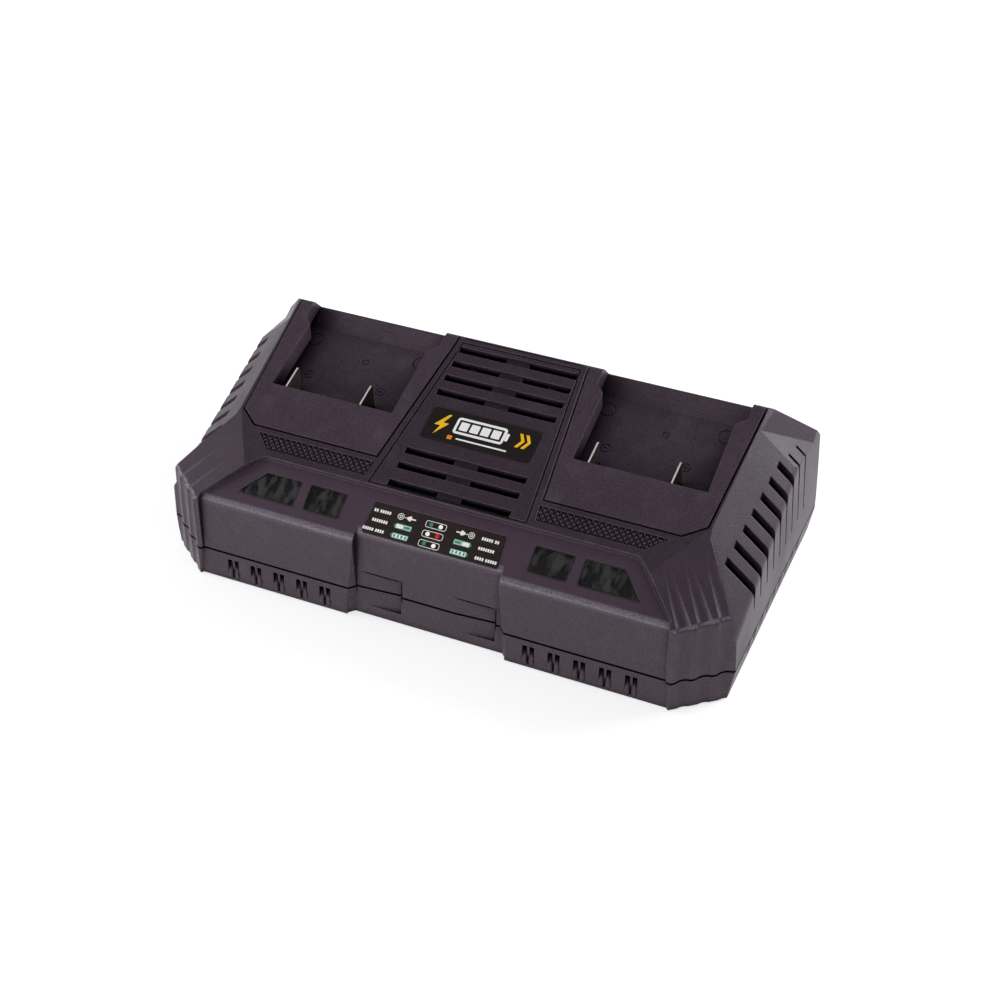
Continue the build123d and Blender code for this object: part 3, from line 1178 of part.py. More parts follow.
for side, sign in (("right", 1), ("left", -1)):
    bay_x = sign * BAY_X
    with BuildPart() as carrier:
        with Locations(BAY_UNDER):
            with Locations((bay_x + CARRIER_X, CARRIER_V, 0)):
                Box(*CARRIER, align=HANGING)
                Box(2 * CARRIER_PEG + 8.0, 8.0, EAR_THICK, align=HANGING)
            with Locations(*[(bay_x + x, v, 0) for x, v in PEG_PLACES]):
                Cylinder(PEG_RADIUS + 0.1, EAR_THICK, align=HANGING, mode=Mode.SUBTRACT)
        with Locations(*[(bay_x + x, BLADE_FRONT_Y - 0.1, 0) for x in BLADE_X]):
            Box(
                BLADE_THICK + 0.1,
                BLADE_REAR_Y - BLADE_FRONT_Y + 0.2,
                ABOVE,
                align=(Align.CENTER, Align.MIN, Align.MIN),
                mode=Mode.SUBTRACT,
            )
    carrier.part.label = f"contact_carrier_{side}"
    export_step(carrier.part, f"parts/contact_carrier_{side}.step")

    for name, x in zip(("negative", "positive"), BLADE_X):
        with BuildPart() as blade:
            with BuildSketch(Plane.YZ.offset(bay_x + x - BLADE_THICK / 2)) as blade_face:
                with BuildLine():
                    shoulder = (BLADE_FRONT_Y - 1.5, BLADE_REAR_Y + 1.5)
                    Polyline(
                        (BLADE_FRONT_Y, under_z(BLADE_FRONT_Y, CARRIER_UNDERSIDE)),
                        (shoulder[0], under_z(shoulder[0], CARRIER_UNDERSIDE)),
                        (shoulder[0], under_z(shoulder[0], CARRIER_UNDERSIDE + 2.0)),
                        (BLADE_TAIL_Y - 1.5, under_z(BLADE_TAIL_Y - 1.5, CARRIER_UNDERSIDE + 2.0)),
                        (BLADE_TAIL_Y - 1.5, TAIL_Z),
                        (BLADE_TAIL_Y + 1.5, TAIL_Z),
                        (BLADE_TAIL_Y + 1.5, under_z(BLADE_TAIL_Y + 1.5, CARRIER_UNDERSIDE + 2.0)),
                        (shoulder[1], under_z(shoulder[1], CARRIER_UNDERSIDE + 2.0)),
                        (shoulder[1], under_z(shoulder[1], CARRIER_UNDERSIDE)),
                        (BLADE_REAR_Y, under_z(BLADE_REAR_Y, CARRIER_UNDERSIDE)),
                        (BLADE_REAR_Y, BLADE_REAR_Z),
                        (BLADE_FRONT_Y, BLADE_FRONT_Z),
                        close=True,
                    )
                make_face()
                fillet(blade_face.vertices().sort_by_distance((BLADE_REAR_Y, BLADE_REAR_Z, 0))[0], radius=1.5)
            extrude(amount=BLADE_THICK)
        blade.part.label = f"{name}_blade_{side}"
        export_step(blade.part, f"parts/{name}_blade_{side}.step")

    with BuildPart() as leads:
        for x in BLADE_X:
            with BuildLine() as lead_path:
                Spline(
                    (bay_x + x, BLADE_TAIL_Y, TAIL_Z + 0.4),
                    (bay_x + x, BLADE_TAIL_Y - 3.0, (TAIL_Z + BOARD_TOP) / 2),
                    (bay_x + x, BLADE_TAIL_Y, BOARD_TOP),
                    tangents=((0, 0, -1), (0, 0, -1)),
                )
            with BuildSketch(Plane(origin=lead_path.line @ 0, z_dir=lead_path.line % 0)):
                Circle(LEAD_RADIUS)
            sweep(path=lead_path.line)
            with Locations((bay_x + x, BLADE_TAIL_Y, TAIL_Z - 0.1)):
                Box(BLADE_THICK, 3.2, ABOVE, align=UPRIGHT, mode=Mode.SUBTRACT)
    leads.part.label = f"output_leads_{side}"
    export_step(leads.part, f"parts/output_leads_{side}.step")

# ================================================================ plates, windows and lamps
with BuildPart() as name_plate:
    with BuildSketch(TOP.offset(-PLATE_RECESS)):
        with Locations((0, on_top(NAME_PLATE_Y))):
            RectangleRounded(*NAME_PLATE, PLATE_CORNER)
    extrude(amount=PLATE_THICK)
name_plate.part.label = "name_plate"
export_step(name_plate.part, "parts/name_plate.step")

with BuildPart() as status_label:
    with BuildSketch(FASCIA.offset(-LABEL_RECESS)) as label_sketch:
        with BuildLine():
            Polyline(*LABEL_OUTLINE, close=True)
        make_face()
        fillet(label_sketch.vertices(), radius=1.0)
        with Locations(*[(x, on_fascia(y)) for x in LAMP_X for y in LAMP_ROWS]):
            Circle(LAMP_DIAMETER / 2 + LAMP_GAP, mode=Mode.SUBTRACT)
    extrude(amount=LABEL_THICK)
status_label.part.label = "status_label"
export_step(status_label.part, "parts/status_label.step")

LAMP_COLOURS = {"green": ((0, 0), (0, 2)), "white": ((1, 0), (0, 1), (1, 2)), "red": ((1, 1),)}
for colour, places in LAMP_COLOURS.items():
    with BuildPart() as lenses:
        with BuildSketch(FASCIA.offset(-PANEL_BOARD_DEPTH)):
            with Locations(*[(LAMP_X[column], on_fascia(LAMP_ROWS[row])) for column, row in places]):
                Circle(LAMP_DIAMETER / 2)
        extrude(amount=PANEL_BOARD_DEPTH + LABEL_THICK - LABEL_RECESS + LAMP_RISE)
    lenses.part.label = f"status_lenses_{colour}"
    export_step(lenses.part, f"parts/status_lenses_{colour}.step")

for name, outline in WINDOWS.items():
    with BuildPart() as window:
        with BuildSketch(FASCIA.offset(-WALL)):
            with BuildLine():
                Polyline(*[(x, on_fascia(y)) for x, y in outline], close=True)
            make_face()
            offset(amount=-PLATE_GAP, kind=Kind.INTERSECTION)
        extrude(amount=WALL - WINDOW_SINK)
        with BuildSketch(FASCIA.offset(-WALL)):
            with BuildLine():
                Polyline(*[(x, on_fascia(y)) for x, y in outline], close=True)
            make_face()
            offset(amount=WINDOW_LEDGE, kind=Kind.INTERSECTION)
        extrude(amount=-WINDOW_LEDGE)
    window.part.label = f"window_{name}_right"
    export_step(window.part, f"parts/window_{name}_right.step")
    with BuildPart() as mirrored:
        mirror(window.part, about=Plane.YZ)
    mirrored.part.label = f"window_{name}_left"
    export_step(mirrored.part, f"parts/window_{name}_left.step")

# small boards under the fascia
with BuildPart() as indicator_board:
    with BuildSketch(FASCIA.offset(-PANEL_BOARD_DEPTH)):
        with Locations((INDICATOR_X, PANEL_BOARD_V)):
            Rectangle(INDICATOR_SIZE[0], INDICATOR_SIZE[1])
        with Locations(*[(x, PANEL_SCREW_V) for x in PANEL_SCREW_X]):
            Circle(SMALL_SCREW_RADIUS + 0.2, mode=Mode.SUBTRACT)
    extrude(amount=-PANEL_BOARD_THICK)
    with BuildSketch(FASCIA.offset(-PANEL_BOARD_DEPTH)):
        for i in range(INDICATOR_LAMPS):
            with Locations((WINDOW_INNER_X[0] + 5.0 + i * INDICATOR_LAMP_PITCH, on_fascia(INDICATOR_LAMP_Y))):
                Rectangle(3.5, 2.8)
    extrude(amount=1.9)
indicator_board.part.label = "indicator_board_right"
export_step(indicator_board.part, "parts/indicator_board_right.step")
with BuildPart() as mirrored:
    mirror(indicator_board.part, about=Plane.YZ)
mirrored.part.label = "indicator_board_left"
export_step(mirrored.part, "parts/indicator_board_left.step")

with BuildPart() as status_board:
    with BuildSketch(FASCIA.offset(-PANEL_BOARD_DEPTH)):
        with Locations((0, PANEL_BOARD_V)):
            Rectangle(STATUS_SIZE[0], STATUS_SIZE[1])
        with Locations(*[(x, PANEL_SCREW_V) for x in PANEL_SCREW_X]):
            Circle(SMALL_SCREW_RADIUS + 0.2, mode=Mode.SUBTRACT)
    extrude(amount=-PANEL_BOARD_THICK)
status_board.part.label = "status_board"
export_step(status_board.part, "parts/status_board.step")

with BuildPart() as panel_screws:
    with BuildSketch(FASCIA.offset(-PANEL_BOARD_DEPTH - PANEL_BOARD_THICK)):
        with Locations(*[(x, PANEL_SCREW_V) for x in PANEL_SCREW_X]):
            Circle(SMALL_SCREW_HEAD / 2)
    extrude(amount=-1.6)
    with BuildSketch(FASCIA.offset(-PANEL_BOARD_DEPTH - PANEL_BOARD_THICK)):
        with Locations(*[(x, PANEL_SCREW_V) for x in PANEL_SCREW_X]):
            Circle(SMALL_SCREW_RADIUS)
    extrude(amount=PANEL_SCREW_DEPTH + PANEL_BOARD_THICK - 0.5)
panel_screws.part.label = "panel_screws"
export_step(panel_screws.part, "parts/panel_screws.step")

# ribbon from the status board down to the main board
with BuildPart() as signal_ribbon:
    board_back = FASCIA.offset(-PANEL_BOARD_DEPTH - PANEL_BOARD_THICK)
    ribbon_start = board_back.from_local_coords(Vector(0, PANEL_BOARD_V, 0))
    with BuildSketch(Plane.YZ):
        with BuildLine():
            Polyline(
                (ribbon_start.Y - 0.4, ribbon_start.Z - 0.3),
                (ribbon_start.Y + 0.8, ribbon_start.Z + 0.4),
                (RIBBON_Y + 0.4, (BOARD_TOP + ribbon_start.Z) / 2),
                (RIBBON_Y + 0.4, BOARD_TOP),
                (RIBBON_Y - 0.4, BOARD_TOP),
                (RIBBON_Y - 0.4, (BOARD_TOP + ribbon_start.Z) / 2),
                close=True,
            )
        make_face()
    extrude(amount=RIBBON_WIDTH / 2, both=True)
    split(bisect_by=board_back, keep=Keep.BOTTOM)
signal_ribbon.part.label = "signal_ribbon"
export_step(signal_ribbon.part, "parts/signal_ribbon.step")

# ================================================================ main board and what stands on it
with BuildPart() as main_board:
    with Locations((0, BOARD_Y, BOARD_Z)):
        Box(*BOARD, align=UPRIGHT)
    chamfer(main_board.edges().filter_by(Axis.Z), length=3.0)
    with Locations(*[(x, y, BOARD_Z) for x, y in BOARD_HOLES]):
        Cylinder(SMALL_SCREW_RADIUS + 0.2, BOARD[2], align=UPRIGHT, mode=Mode.SUBTRACT)
main_board.part.label = "main_board"
export_step(main_board.part, "parts/main_board.step")

with BuildPart() as board_screws:
    with Locations(*[(x, y, BOARD_TOP) for x, y in BOARD_HOLES]):
        Cylinder(SMALL_SCREW_HEAD / 2, 1.6, align=UPRIGHT)
        Cylinder(SMALL_SCREW_RADIUS, BOARD[2] + STANDOFF - 0.5, align=HANGING)
board_screws.part.label = "board_screws"
export_step(board_screws.part, "parts/board_screws.step")

with BuildPart() as fuse:
    with Locations((FUSE[0], FUSE[1], BOARD_TOP)):
        with Locations((-8.0, 0, 0), (8.0, 0, 0)):
            Box(4.0, 7.0, 5.0, align=UPRIGHT)
        with Locations(Location((0, 0, 5.0), (0, 90, 0))):
            Cylinder(2.6, 20.0)
fuse.part.label = "fuse"
export_step(fuse.part, "parts/fuse.step")

with BuildPart() as choke:
    with Locations((CHOKE[0], CHOKE[1], BOARD_TOP)):
        Cylinder(11.0, 2.0, align=UPRIGHT)
        with Locations((0, 0, 5.0)):
            Torus(7.5, 3.4)
choke.part.label = "choke"
export_step(choke.part, "parts/choke.step")

with BuildPart() as bulk_capacitor:
    with Locations(Location((BULK[0], BULK[1], BOARD_TOP + BULK[2]), (0, 90, 0))):
        Cylinder(BULK[2], BULK[3])
    chamfer(bulk_capacitor.edges(), length=0.8)
bulk_capacitor.part.label = "bulk_capacitor"
export_step(bulk_capacitor.part, "parts/bulk_capacitor.step")

with BuildPart() as output_capacitors:
    with Locations(*[(sign * x, OUTPUT_CAPS_Y, BOARD_TOP) for sign in (1, -1) for x in OUTPUT_CAPS_X]):
        Cylinder(OUTPUT_CAP[0], OUTPUT_CAP[1], align=UPRIGHT)
output_capacitors.part.label = "output_capacitors"
export_step(output_capacitors.part, "parts/output_capacitors.step")

for side, sign in (("right", 1), ("left", -1)):
    with BuildPart() as transformer:
        with Locations((sign * TRANSFORMER[0], TRANSFORMER[1], BOARD_TOP)):
            Box(30.0, 26.0, 4.0, align=UPRIGHT)
            Box(32.0, 10.0, 26.0, align=UPRIGHT)
            Cylinder(11.5, 22.0, align=UPRIGHT)
    transformer.part.label = f"transformer_{side}"
    export_step(transformer.part, f"parts/transformer_{side}.step")
    with BuildPart() as heat_sink:
        with Locations((sign * HEAT_SINK[0], HEAT_SINK[1], BOARD_TOP)):
            Box(HEAT_SINK[2], 3.0, HEAT_SINK[3], align=UPRIGHT)
            with GridLocations(HEAT_SINK[2] / (HEAT_FINS - 1) - 0.3, 1, HEAT_FINS, 1):
                Box(1.6, 14.0, HEAT_SINK[3] - 2.0, align=(Align.CENTER, Align.MAX, Align.MIN))
    heat_sink.part.label = f"heat_sink_{side}"
    export_step(heat_sink.part, f"parts/heat_sink_{side}.step")

# ================================================================ fan
with BuildPart() as fan_frame:
    with Locations((0, FAN_Y, FAN_Z)):
        Box(FAN_SIZE, FAN_SIZE, FAN_DEPTH, align=UPRIGHT)
        Cylinder(FAN_BORE / 2, FAN_DEPTH, align=UPRIGHT, mode=Mode.SUBTRACT)
        Cylinder(FAN_HUB / 2, FAN_BASE, align=UPRIGHT)
        with PolarLocations(0, 4):
            Box(FAN_BORE / 2 + 0.5, 2.4, FAN_BASE, align=(Align.MIN, Align.CENTER, Align.MIN))
        Cylinder(FAN_SHAFT / 2, FAN_DEPTH - 2.5, align=UPRIGHT)
    upright = fan_frame.edges().filter_by(Axis.Z)
    fillet(upright.filter_by(lambda e: abs(e.center().X) > FAN_SIZE / 2 - 0.01), radius=FAN_CORNER)
    with Locations(*[(x, y, FAN_Z) for x, y in FAN_HOLES]):
        Cylinder(SMALL_SCREW_RADIUS + 0.2, FAN_DEPTH, align=UPRIGHT, mode=Mode.SUBTRACT)
fan_frame.part.label = "fan_frame"
export_step(fan_frame.part, "parts/fan_frame.step")

with BuildPart() as fan_rotor:
    with Locations((0, FAN_Y, FAN_Z + FAN_BASE + 0.5)):
        Cylinder(FAN_HUB / 2 - 0.5, FAN_ROTOR_HEIGHT, align=UPRIGHT)
        with PolarLocations(0, FAN_BLADES):
            with Locations(Location((FAN_HUB / 2 - 1.5, 0, FAN_ROTOR_HEIGHT / 2), (FAN_BLADE_ANGLE, 0, 0))):
                Box(
                    FAN_BORE / 2 - FAN_TIP_GAP - FAN_HUB / 2 + 0.8,
                    1.2,
                    12.0,
                    align=(Align.MIN, Align.CENTER, Align.CENTER),
                )
        Cylinder(FAN_SHAFT / 2 + FAN_SHAFT_GAP, FAN_DEPTH - 2.5 - FAN_BASE, align=UPRIGHT, mode=Mode.SUBTRACT)
fan_rotor.part.label = "fan_rotor"
export_step(fan_rotor.part, "parts/fan_rotor.step")

with BuildPart() as fan_screws:
    with Locations(*[(x, y, FAN_Z) for x, y in FAN_HOLES]):
        Cylinder(SMALL_SCREW_HEAD / 2, 1.6, align=HANGING)
        Cylinder(SMALL_SCREW_RADIUS, FAN_DEPTH + FAN_SCREW_DEPTH - 0.5, align=UPRIGHT)
fan_screws.part.label = "fan_screws"
export_step(fan_screws.part, "parts/fan_screws.step")

with BuildPart() as fan_lead:
    with Locations((FAN_SIZE / 2, FAN_Y, FAN_Z + 3.0)):
        Box(2.4, 6.0, FAN_Z + 3.0 - BOARD_TOP, align=(Align.MIN, Align.CENTER, Align.MAX))
fan_lead.part.label = "fan_lead"
export_step(fan_lead.part, "parts/fan_lead.step")

# ================================================================ mains inlet
with BuildPart() as mains_inlet:
    with Locations((INLET_X, INLET_FACE_Y, INLET_Z)):
        Box(*INLET, align=(Align.CENTER, Align.MAX, Align.MIN))
        with Locations((-INLET[0] / 2 + 2.0, -INLET[1], 0), (INLET[0] / 2 - 2.0, -INLET[1], 0)):
            Box(4.0, 3.0, INLET_Z - BOARD_TOP, align=(Align.CENTER, Align.MIN, Align.MAX))
    with BuildSketch(Plane.XZ.offset(-INLET_FACE_Y)):
        with Locations((INLET_X, INLET_Z + INLET[2] / 2)):
            SlotOverall(INLET_SOCKET[0], INLET_SOCKET[1])
    extrude(amount=INLET_SOCKET[2], mode=Mode.SUBTRACT)
    with BuildSketch(Plane.XZ.offset(-INLET_FACE_Y)):
        with Locations(*[(INLET_X + i * INLET_PIN_SPACING / 2, INLET_Z + INLET[2] / 2) for i in (-1, 1)]):
            Circle(INLET_TAIL / 2 + 0.05)
    extrude(amount=INLET[1], mode=Mode.SUBTRACT)
mains_inlet.part.label = "mains_inlet"
export_step(mains_inlet.part, "parts/mains_inlet.step")

with BuildPart() as inlet_pins:
    with BuildSketch(Plane.XZ.offset(3.0 - INLET_FACE_Y)):
        with Locations(*[(INLET_X + i * INLET_PIN_SPACING / 2, INLET_Z + INLET[2] / 2) for i in (-1, 1)]):
            Circle(INLET_PIN / 2)
    extrude(amount=INLET_SOCKET[2] - 3.0)
    with BuildSketch(Plane.XZ.offset(INLET_SOCKET[2] - INLET_FACE_Y)):
        with Locations(*[(INLET_X + i * INLET_PIN_SPACING / 2, INLET_Z + INLET[2] / 2) for i in (-1, 1)]):
            Circle(INLET_TAIL / 2)
    extrude(amount=INLET[1] - INLET_SOCKET[2] + INLET_TAIL)
    with Locations(
        *[
            (
                INLET_X + i * INLET_PIN_SPACING / 2,
                INLET_FACE_Y - INLET[1] - INLET_TAIL / 2,
                INLET_Z + INLET[2] / 2,
            )
            for i in (-1, 1)
        ]
    ):
        Cylinder(0.7, INLET_Z + INLET[2] / 2 - BOARD_TOP, align=HANGING)
inlet_pins.part.label = "inlet_pins"
export_step(inlet_pins.part, "parts/inlet_pins.step")

# ================================================================ screws and feet
with BuildPart() as housing_screws:
    with Locations(*[(sign * x, y, SCREW_SEAT) for sign in (1, -1) for x, y in HOUSING_BOSSES]):
        Cylinder(SCREW_HEAD / 2, 2.2, align=HANGING)
        Cylinder(SCREW_RADIUS, BOSS_JOIN - SCREW_SEAT + SCREW_DEPTH - 1.0, align=UPRIGHT)
housing_screws.part.label = "housing_screws"
export_step(housing_screws.part, "parts/housing_screws.step")

with BuildPart() as insert_screws:
    with Locations(*[(sign * x, INSERT_TAB_Y, TAB_TOP - TAB_THICK) for sign in (1, -1) for x in INSERT_TAB_X]):
        Cylinder(SMALL_SCREW_HEAD / 2, 1.6, align=HANGING)
        Cylinder(SMALL_SCREW_RADIUS, TAB_THICK + TAB_SCREW_DEPTH - 0.4, align=UPRIGHT)
insert_screws.part.label = "insert_screws"
export_step(insert_screws.part, "parts/insert_screws.step")

with BuildPart() as rubber_feet:
    with Locations(*[(sign * FOOT_X, y, 0) for sign in (1, -1) for y in FOOT_Y]):
        Cylinder(FOOT_RADIUS, FOOT_RISE + FOOT_RECESS, align=UPRIGHT)
    chamfer(rubber_feet.edges().group_by(Axis.Z)[0], length=0.4)
rubber_feet.part.label = "rubber_feet"
export_step(rubber_feet.part, "parts/rubber_feet.step")
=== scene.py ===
"""Dresses the two-bay battery charger: finishes, prints, grip strips, vent sills, window lamps and studio.

Lengths in the size fields are millimetres, and those of the studio are metres. Meshes are in metres, in the
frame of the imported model.
"""

import json
import logging
import math
from contextlib import contextmanager
from dataclasses import dataclass, field
from enum import Enum
from functools import cached_property
from typing import Callable, Iterator, Sequence

import bpy
from mathutils import Matrix, Vector


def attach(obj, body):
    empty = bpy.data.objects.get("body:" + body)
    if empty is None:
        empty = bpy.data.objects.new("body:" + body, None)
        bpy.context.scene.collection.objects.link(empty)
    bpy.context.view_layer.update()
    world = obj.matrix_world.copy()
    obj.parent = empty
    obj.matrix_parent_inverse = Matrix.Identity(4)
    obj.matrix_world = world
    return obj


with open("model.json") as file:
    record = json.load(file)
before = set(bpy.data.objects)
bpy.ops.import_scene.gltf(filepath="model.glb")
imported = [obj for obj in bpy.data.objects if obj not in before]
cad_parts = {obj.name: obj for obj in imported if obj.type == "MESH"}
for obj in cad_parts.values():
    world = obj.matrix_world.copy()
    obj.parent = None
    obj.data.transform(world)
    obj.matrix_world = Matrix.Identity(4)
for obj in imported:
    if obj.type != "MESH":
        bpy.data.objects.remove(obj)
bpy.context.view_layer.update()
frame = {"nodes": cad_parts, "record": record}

Point = tuple[float, float]
Triple = tuple[float, float, float]
Colour = tuple[float, float, float]
Loop = list[Point]
Node = bpy.types.Node
Socket = bpy.types.NodeSocket
Material = bpy.types.Material
Piece = bpy.types.Object

LOG = logging.getLogger("charger")
HOUSING = "housing"
MM = 0.001
TO_METRES = Matrix.Scale(MM, 4)
IDENTITY = Matrix.Identity(4)
# a profile's own axes become Y and Z, and its thickness lies along X
PROFILE_ACROSS = Matrix(((0, 0, 1, 0), (1, 0, 0, 0), (0, 1, 0, 0), (0, 0, 0, 1)))
SMOOTH_ANGLE = math.radians(35.0)
UNIT: Point = (0.0, 1.0)
FLIPPED: Point = (1.0, 0.0)
WHITE = (1.0, 1.0, 1.0, 1.0)


class Side(Enum):
    """Which half of the charger a piece belongs to, as the sign of its X."""

    LEFT = -1
    RIGHT = 1

    @property
    def label(self) -> str:
        """The side's name in lower case."""
        return self.name.lower()


class Axis(Enum):
    """The axes of the frame, by their place in a vector."""

    X = 0
    Y = 1
    Z = 2


class Ink(Enum):
    """Colours of the printed marks."""

    WHITE = (0.92, 0.91, 0.90)
    YELLOW = (0.93, 0.52, 0.006)
    ORANGE = (0.80, 0.25, 0.015)
    TEAL = (0.045, 0.30, 0.22)


@dataclass(frozen=True)
class TiltedPlane:
    """A flat face of the housing that rises to the rear."""

    height: float
    angle: float

    def along(self, y: float) -> float:
        """Distance up the face for a plan distance y."""
        return y / math.cos(math.radians(self.angle))

    def matrix(self, lift: float = 0.0) -> Matrix:
        """Places local X, Y on the face and Z along its normal.

        Args:
            lift: Height of the local origin above the face, in millimetres.

        Returns:
            The matrix from local millimetres to metres in the frame.
        """
        tilt = math.radians(self.angle)
        up = Vector((0.0, math.cos(tilt), math.sin(tilt)))
        normal = Vector((0.0, -math.sin(tilt), math.cos(tilt)))
        place = Matrix((Vector((1.0, 0.0, 0.0)), up, normal)).transposed().to_4x4()
        place.translation = Vector((0.0, 0.0, self.height)) + normal * lift
        return TO_METRES @ place


TOP = TiltedPlane(height=69.9, angle=15.6)
FASCIA = TiltedPlane(height=80.0, angle=28.9)


@dataclass(frozen=True)
class Seam:
    """A joint in the housing, painted dark as the shade in its gap: a thin slab across an axis, with limits
    along the other axes.
    """

    axis: Axis
    offset: float
    half: float
    limits: dict[Axis, Point] = field(default_factory=dict)


@dataclass(frozen=True)
class ThumbLatch:
    """A thumb recess in the front, with a slit over it that turns down its right side; the slit is painted
    shade.

    The slit's start and corner count from the recess's left side, and its depth is a range of Y.
    """

    left: float
    start: float = 1.0
    corner: float = 20.3
    top: float = 24.2
    bottom: float = 12.5
    depth: Point = (-80.0, -55.0)
    level_half: float = 0.42
    upright_half: float = 0.36

    def seams(self) -> tuple[Seam, Seam]:
        """Works out the slit.

        Returns:
            Its level part and its upright part.
        """
        right = self.left + self.corner
        level = {Axis.X: (self.left + self.start, right), Axis.Y: self.depth}
        upright = {Axis.Z: (self.bottom, self.top), Axis.Y: self.depth}
        return Seam(Axis.Z, self.top, self.level_half, level), Seam(Axis.X, right, self.upright_half, upright)


# the parting line and the latch slits are painted shade, standing in for the shadow in their gaps
PARTING = Seam(Axis.Z, offset=15.5, half=0.72)
SEAMS = (*ThumbLatch(left=-33.4).seams(), *ThumbLatch(left=13.4).seams(), PARTING)


# ------------------------------------------------------------------ materials
class Graph:
    """A node tree, with short calls that add and join nodes."""

    # cosine between the rounded and the flat normal: on an edge, and off it
    EDGE_TURN: Point = (0.80, 0.995)
    # share of open sky: in a crevice, and in the open
    SKY: Point = (0.38, 0.94)
    # Y of a normal that faces the front, and of one that no longer does
    FRONTWARD: Point = (-0.5, -0.3)
    # share of a band's half width that is solid, and where the fade beyond it is halfway
    CORE = 0.6
    HALFWAY = (1.0 + CORE) / 2

    def __init__(self, owner: Material | bpy.types.World, shader: str = "Principled BSDF") -> None:
        """Takes up the node tree of a new material or world.

        Args:
            owner: The material or world.
            shader: Name of its shader node.
        """
        owner.use_nodes = True
        self.tree = owner.node_tree
        self.shader = self.tree.nodes[shader]

    @cached_property
    def place(self) -> Socket:
        """Object coordinates of the surface."""
        return self.add("ShaderNodeTexCoord").outputs["Object"]

    def put(self, socket: Socket, value: object) -> None:
        """Links the value to a socket, or sets it there if it is a constant.

        Args:
            socket: The input.
            value: Another socket, or a constant.
        """
        if isinstance(value, Socket):
            self.tree.links.new(value, socket)
        else:
            socket.default_value = value

    def add(self, kind: str, inputs: dict[object, object] | None = None, **options: object) -> Node:
        """Adds a node.

        Args:
            kind: The node's type name.
            inputs: Values or sockets for its inputs, by name or number.
            **options: Properties of the node.

        Returns:
            The new node.
        """
        node = self.tree.nodes.new(kind)
        for name, value in options.items():
            setattr(node, name, value)
        for key, value in (inputs or {}).items():
            self.put(node.inputs[key], value)
        return node

    def shade(self, values: dict[str, object]) -> None:
        """Sets or links inputs of the shader."""
        for name, value in values.items():
            self.put(self.shader.inputs[name], value)

    def maths(self, operation: str, *values: object) -> Socket:
        """One step of arithmetic."""
        return self.add("ShaderNodeMath", dict(enumerate(values)), operation=operation).outputs[0]

    def product(self, first: object, second: object) -> Socket:
        """Multiplies two values."""
        return self.maths("MULTIPLY", first, second)

    def component(self, vector: Socket, axis: Axis) -> Socket:
        """One coordinate of a vector."""
        return self.add("ShaderNodeSeparateXYZ", {0: vector}).outputs[axis.value]

    def noise(self, scale: float, detail: float = 2.0, stretch: Triple | None = None) -> Socket:
        """Noise over the piece.

        Args:
            scale: Cells per metre.
            detail: Octaves.
            stretch: Scale along each axis, for drawn or brushed surfaces.

        Returns:
            The noise's factor.
        """
        vector = self.place
        if stretch is not None:
            vector = self.add("ShaderNodeMapping", {"Vector": vector, "Scale": stretch}).outputs[0]
        inputs = {"Vector": vector, "Scale": scale, "Detail": detail}
        return self.add("ShaderNodeTexNoise", inputs).outputs["Fac"]

    def spread(
        self, value: Socket, to: tuple[Socket | float, float], source: Point = (0.3, 0.7)
    ) -> Socket | float:
        """Maps a value from one range to another, clamped.

        Args:
            value: The value.
            to: What the two ends of its range become.
            source: The range.

        Returns:
            The mapped value, or the plain number if both ends become the same.
        """
        if to[0] == to[1]:
            return to[0]
        ends = {"From Min": source[0], "From Max": source[1], "To Min": to[0], "To Max": to[1]}
        return self.add("ShaderNodeMapRange", {"Value": value, **ends}).outputs["Result"]

    def mix(self, share: object, first: object, second: object) -> Socket:
        """Mixes two colours."""
        return self.add("ShaderNodeMix", {0: share, 6: first, 7: second}, data_type="RGBA").outputs[2]

    def edges(self, radius: float, samples: int = 4) -> tuple[Socket, Socket]:
        """Finds the edges of the mesh.

        Args:
            radius: Width of the rounded look, in millimetres.
            samples: Rays per look-up.

        Returns:
            The rounded normal, and a mask that is 1 on an edge.
        """
        rounded = self.add("ShaderNodeBevel", {"Radius": radius * MM}, samples=samples).outputs[0]
        flat = self.add("ShaderNodeNewGeometry").outputs["Normal"]
        dot = self.add("ShaderNodeVectorMath", {0: rounded, 1: flat}, operation="DOT_PRODUCT")
        return rounded, self.spread(dot.outputs["Value"], to=FLIPPED, source=self.EDGE_TURN)

    def openness(self, reach: float, dark: float, samples: int = 4) -> Socket:
        """How open the surface is to its surroundings, from a dark value in crevices to 1.

        Args:
            reach: Distance to other surfaces that counts as a crevice, in millimetres.
            dark: Value in the deepest crevice.
            samples: Rays per look-up.

        Returns:
            The openness.
        """
        node = self.add("ShaderNodeAmbientOcclusion", {"Distance": reach * MM}, samples=samples)
        return self.spread(node.outputs["AO"], to=(dark, 1.0), source=self.SKY)

    def band(self, value: Socket, centre: float, half: float) -> Socket:
        """A mask that is 1 near the centre and fades to 0 at the half width from it."""
        away = self.maths("ABSOLUTE", self.maths("SUBTRACT", value, centre))
        return self.spread(away, to=FLIPPED, source=(half * self.CORE, half))

    def slab(self, axis: Axis, centre: float, half: float) -> Socket:
        """A band of the surface across an axis, in millimetres."""
        return self.band(self.component(self.place, axis), centre * MM, half * MM)

    def seam(self, seam: Seam) -> Socket:
        """Marks a seam.

        Args:
            seam: The seam.

        Returns:
            A mask that is 1 in the seam.
        """
        mask = self.slab(seam.axis, seam.offset, seam.half)
        for axis, (low, high) in seam.limits.items():
            mask = self.product(mask, self.slab(axis, (low + high) / 2, (high - low) / 2 / self.HALFWAY))
        return mask

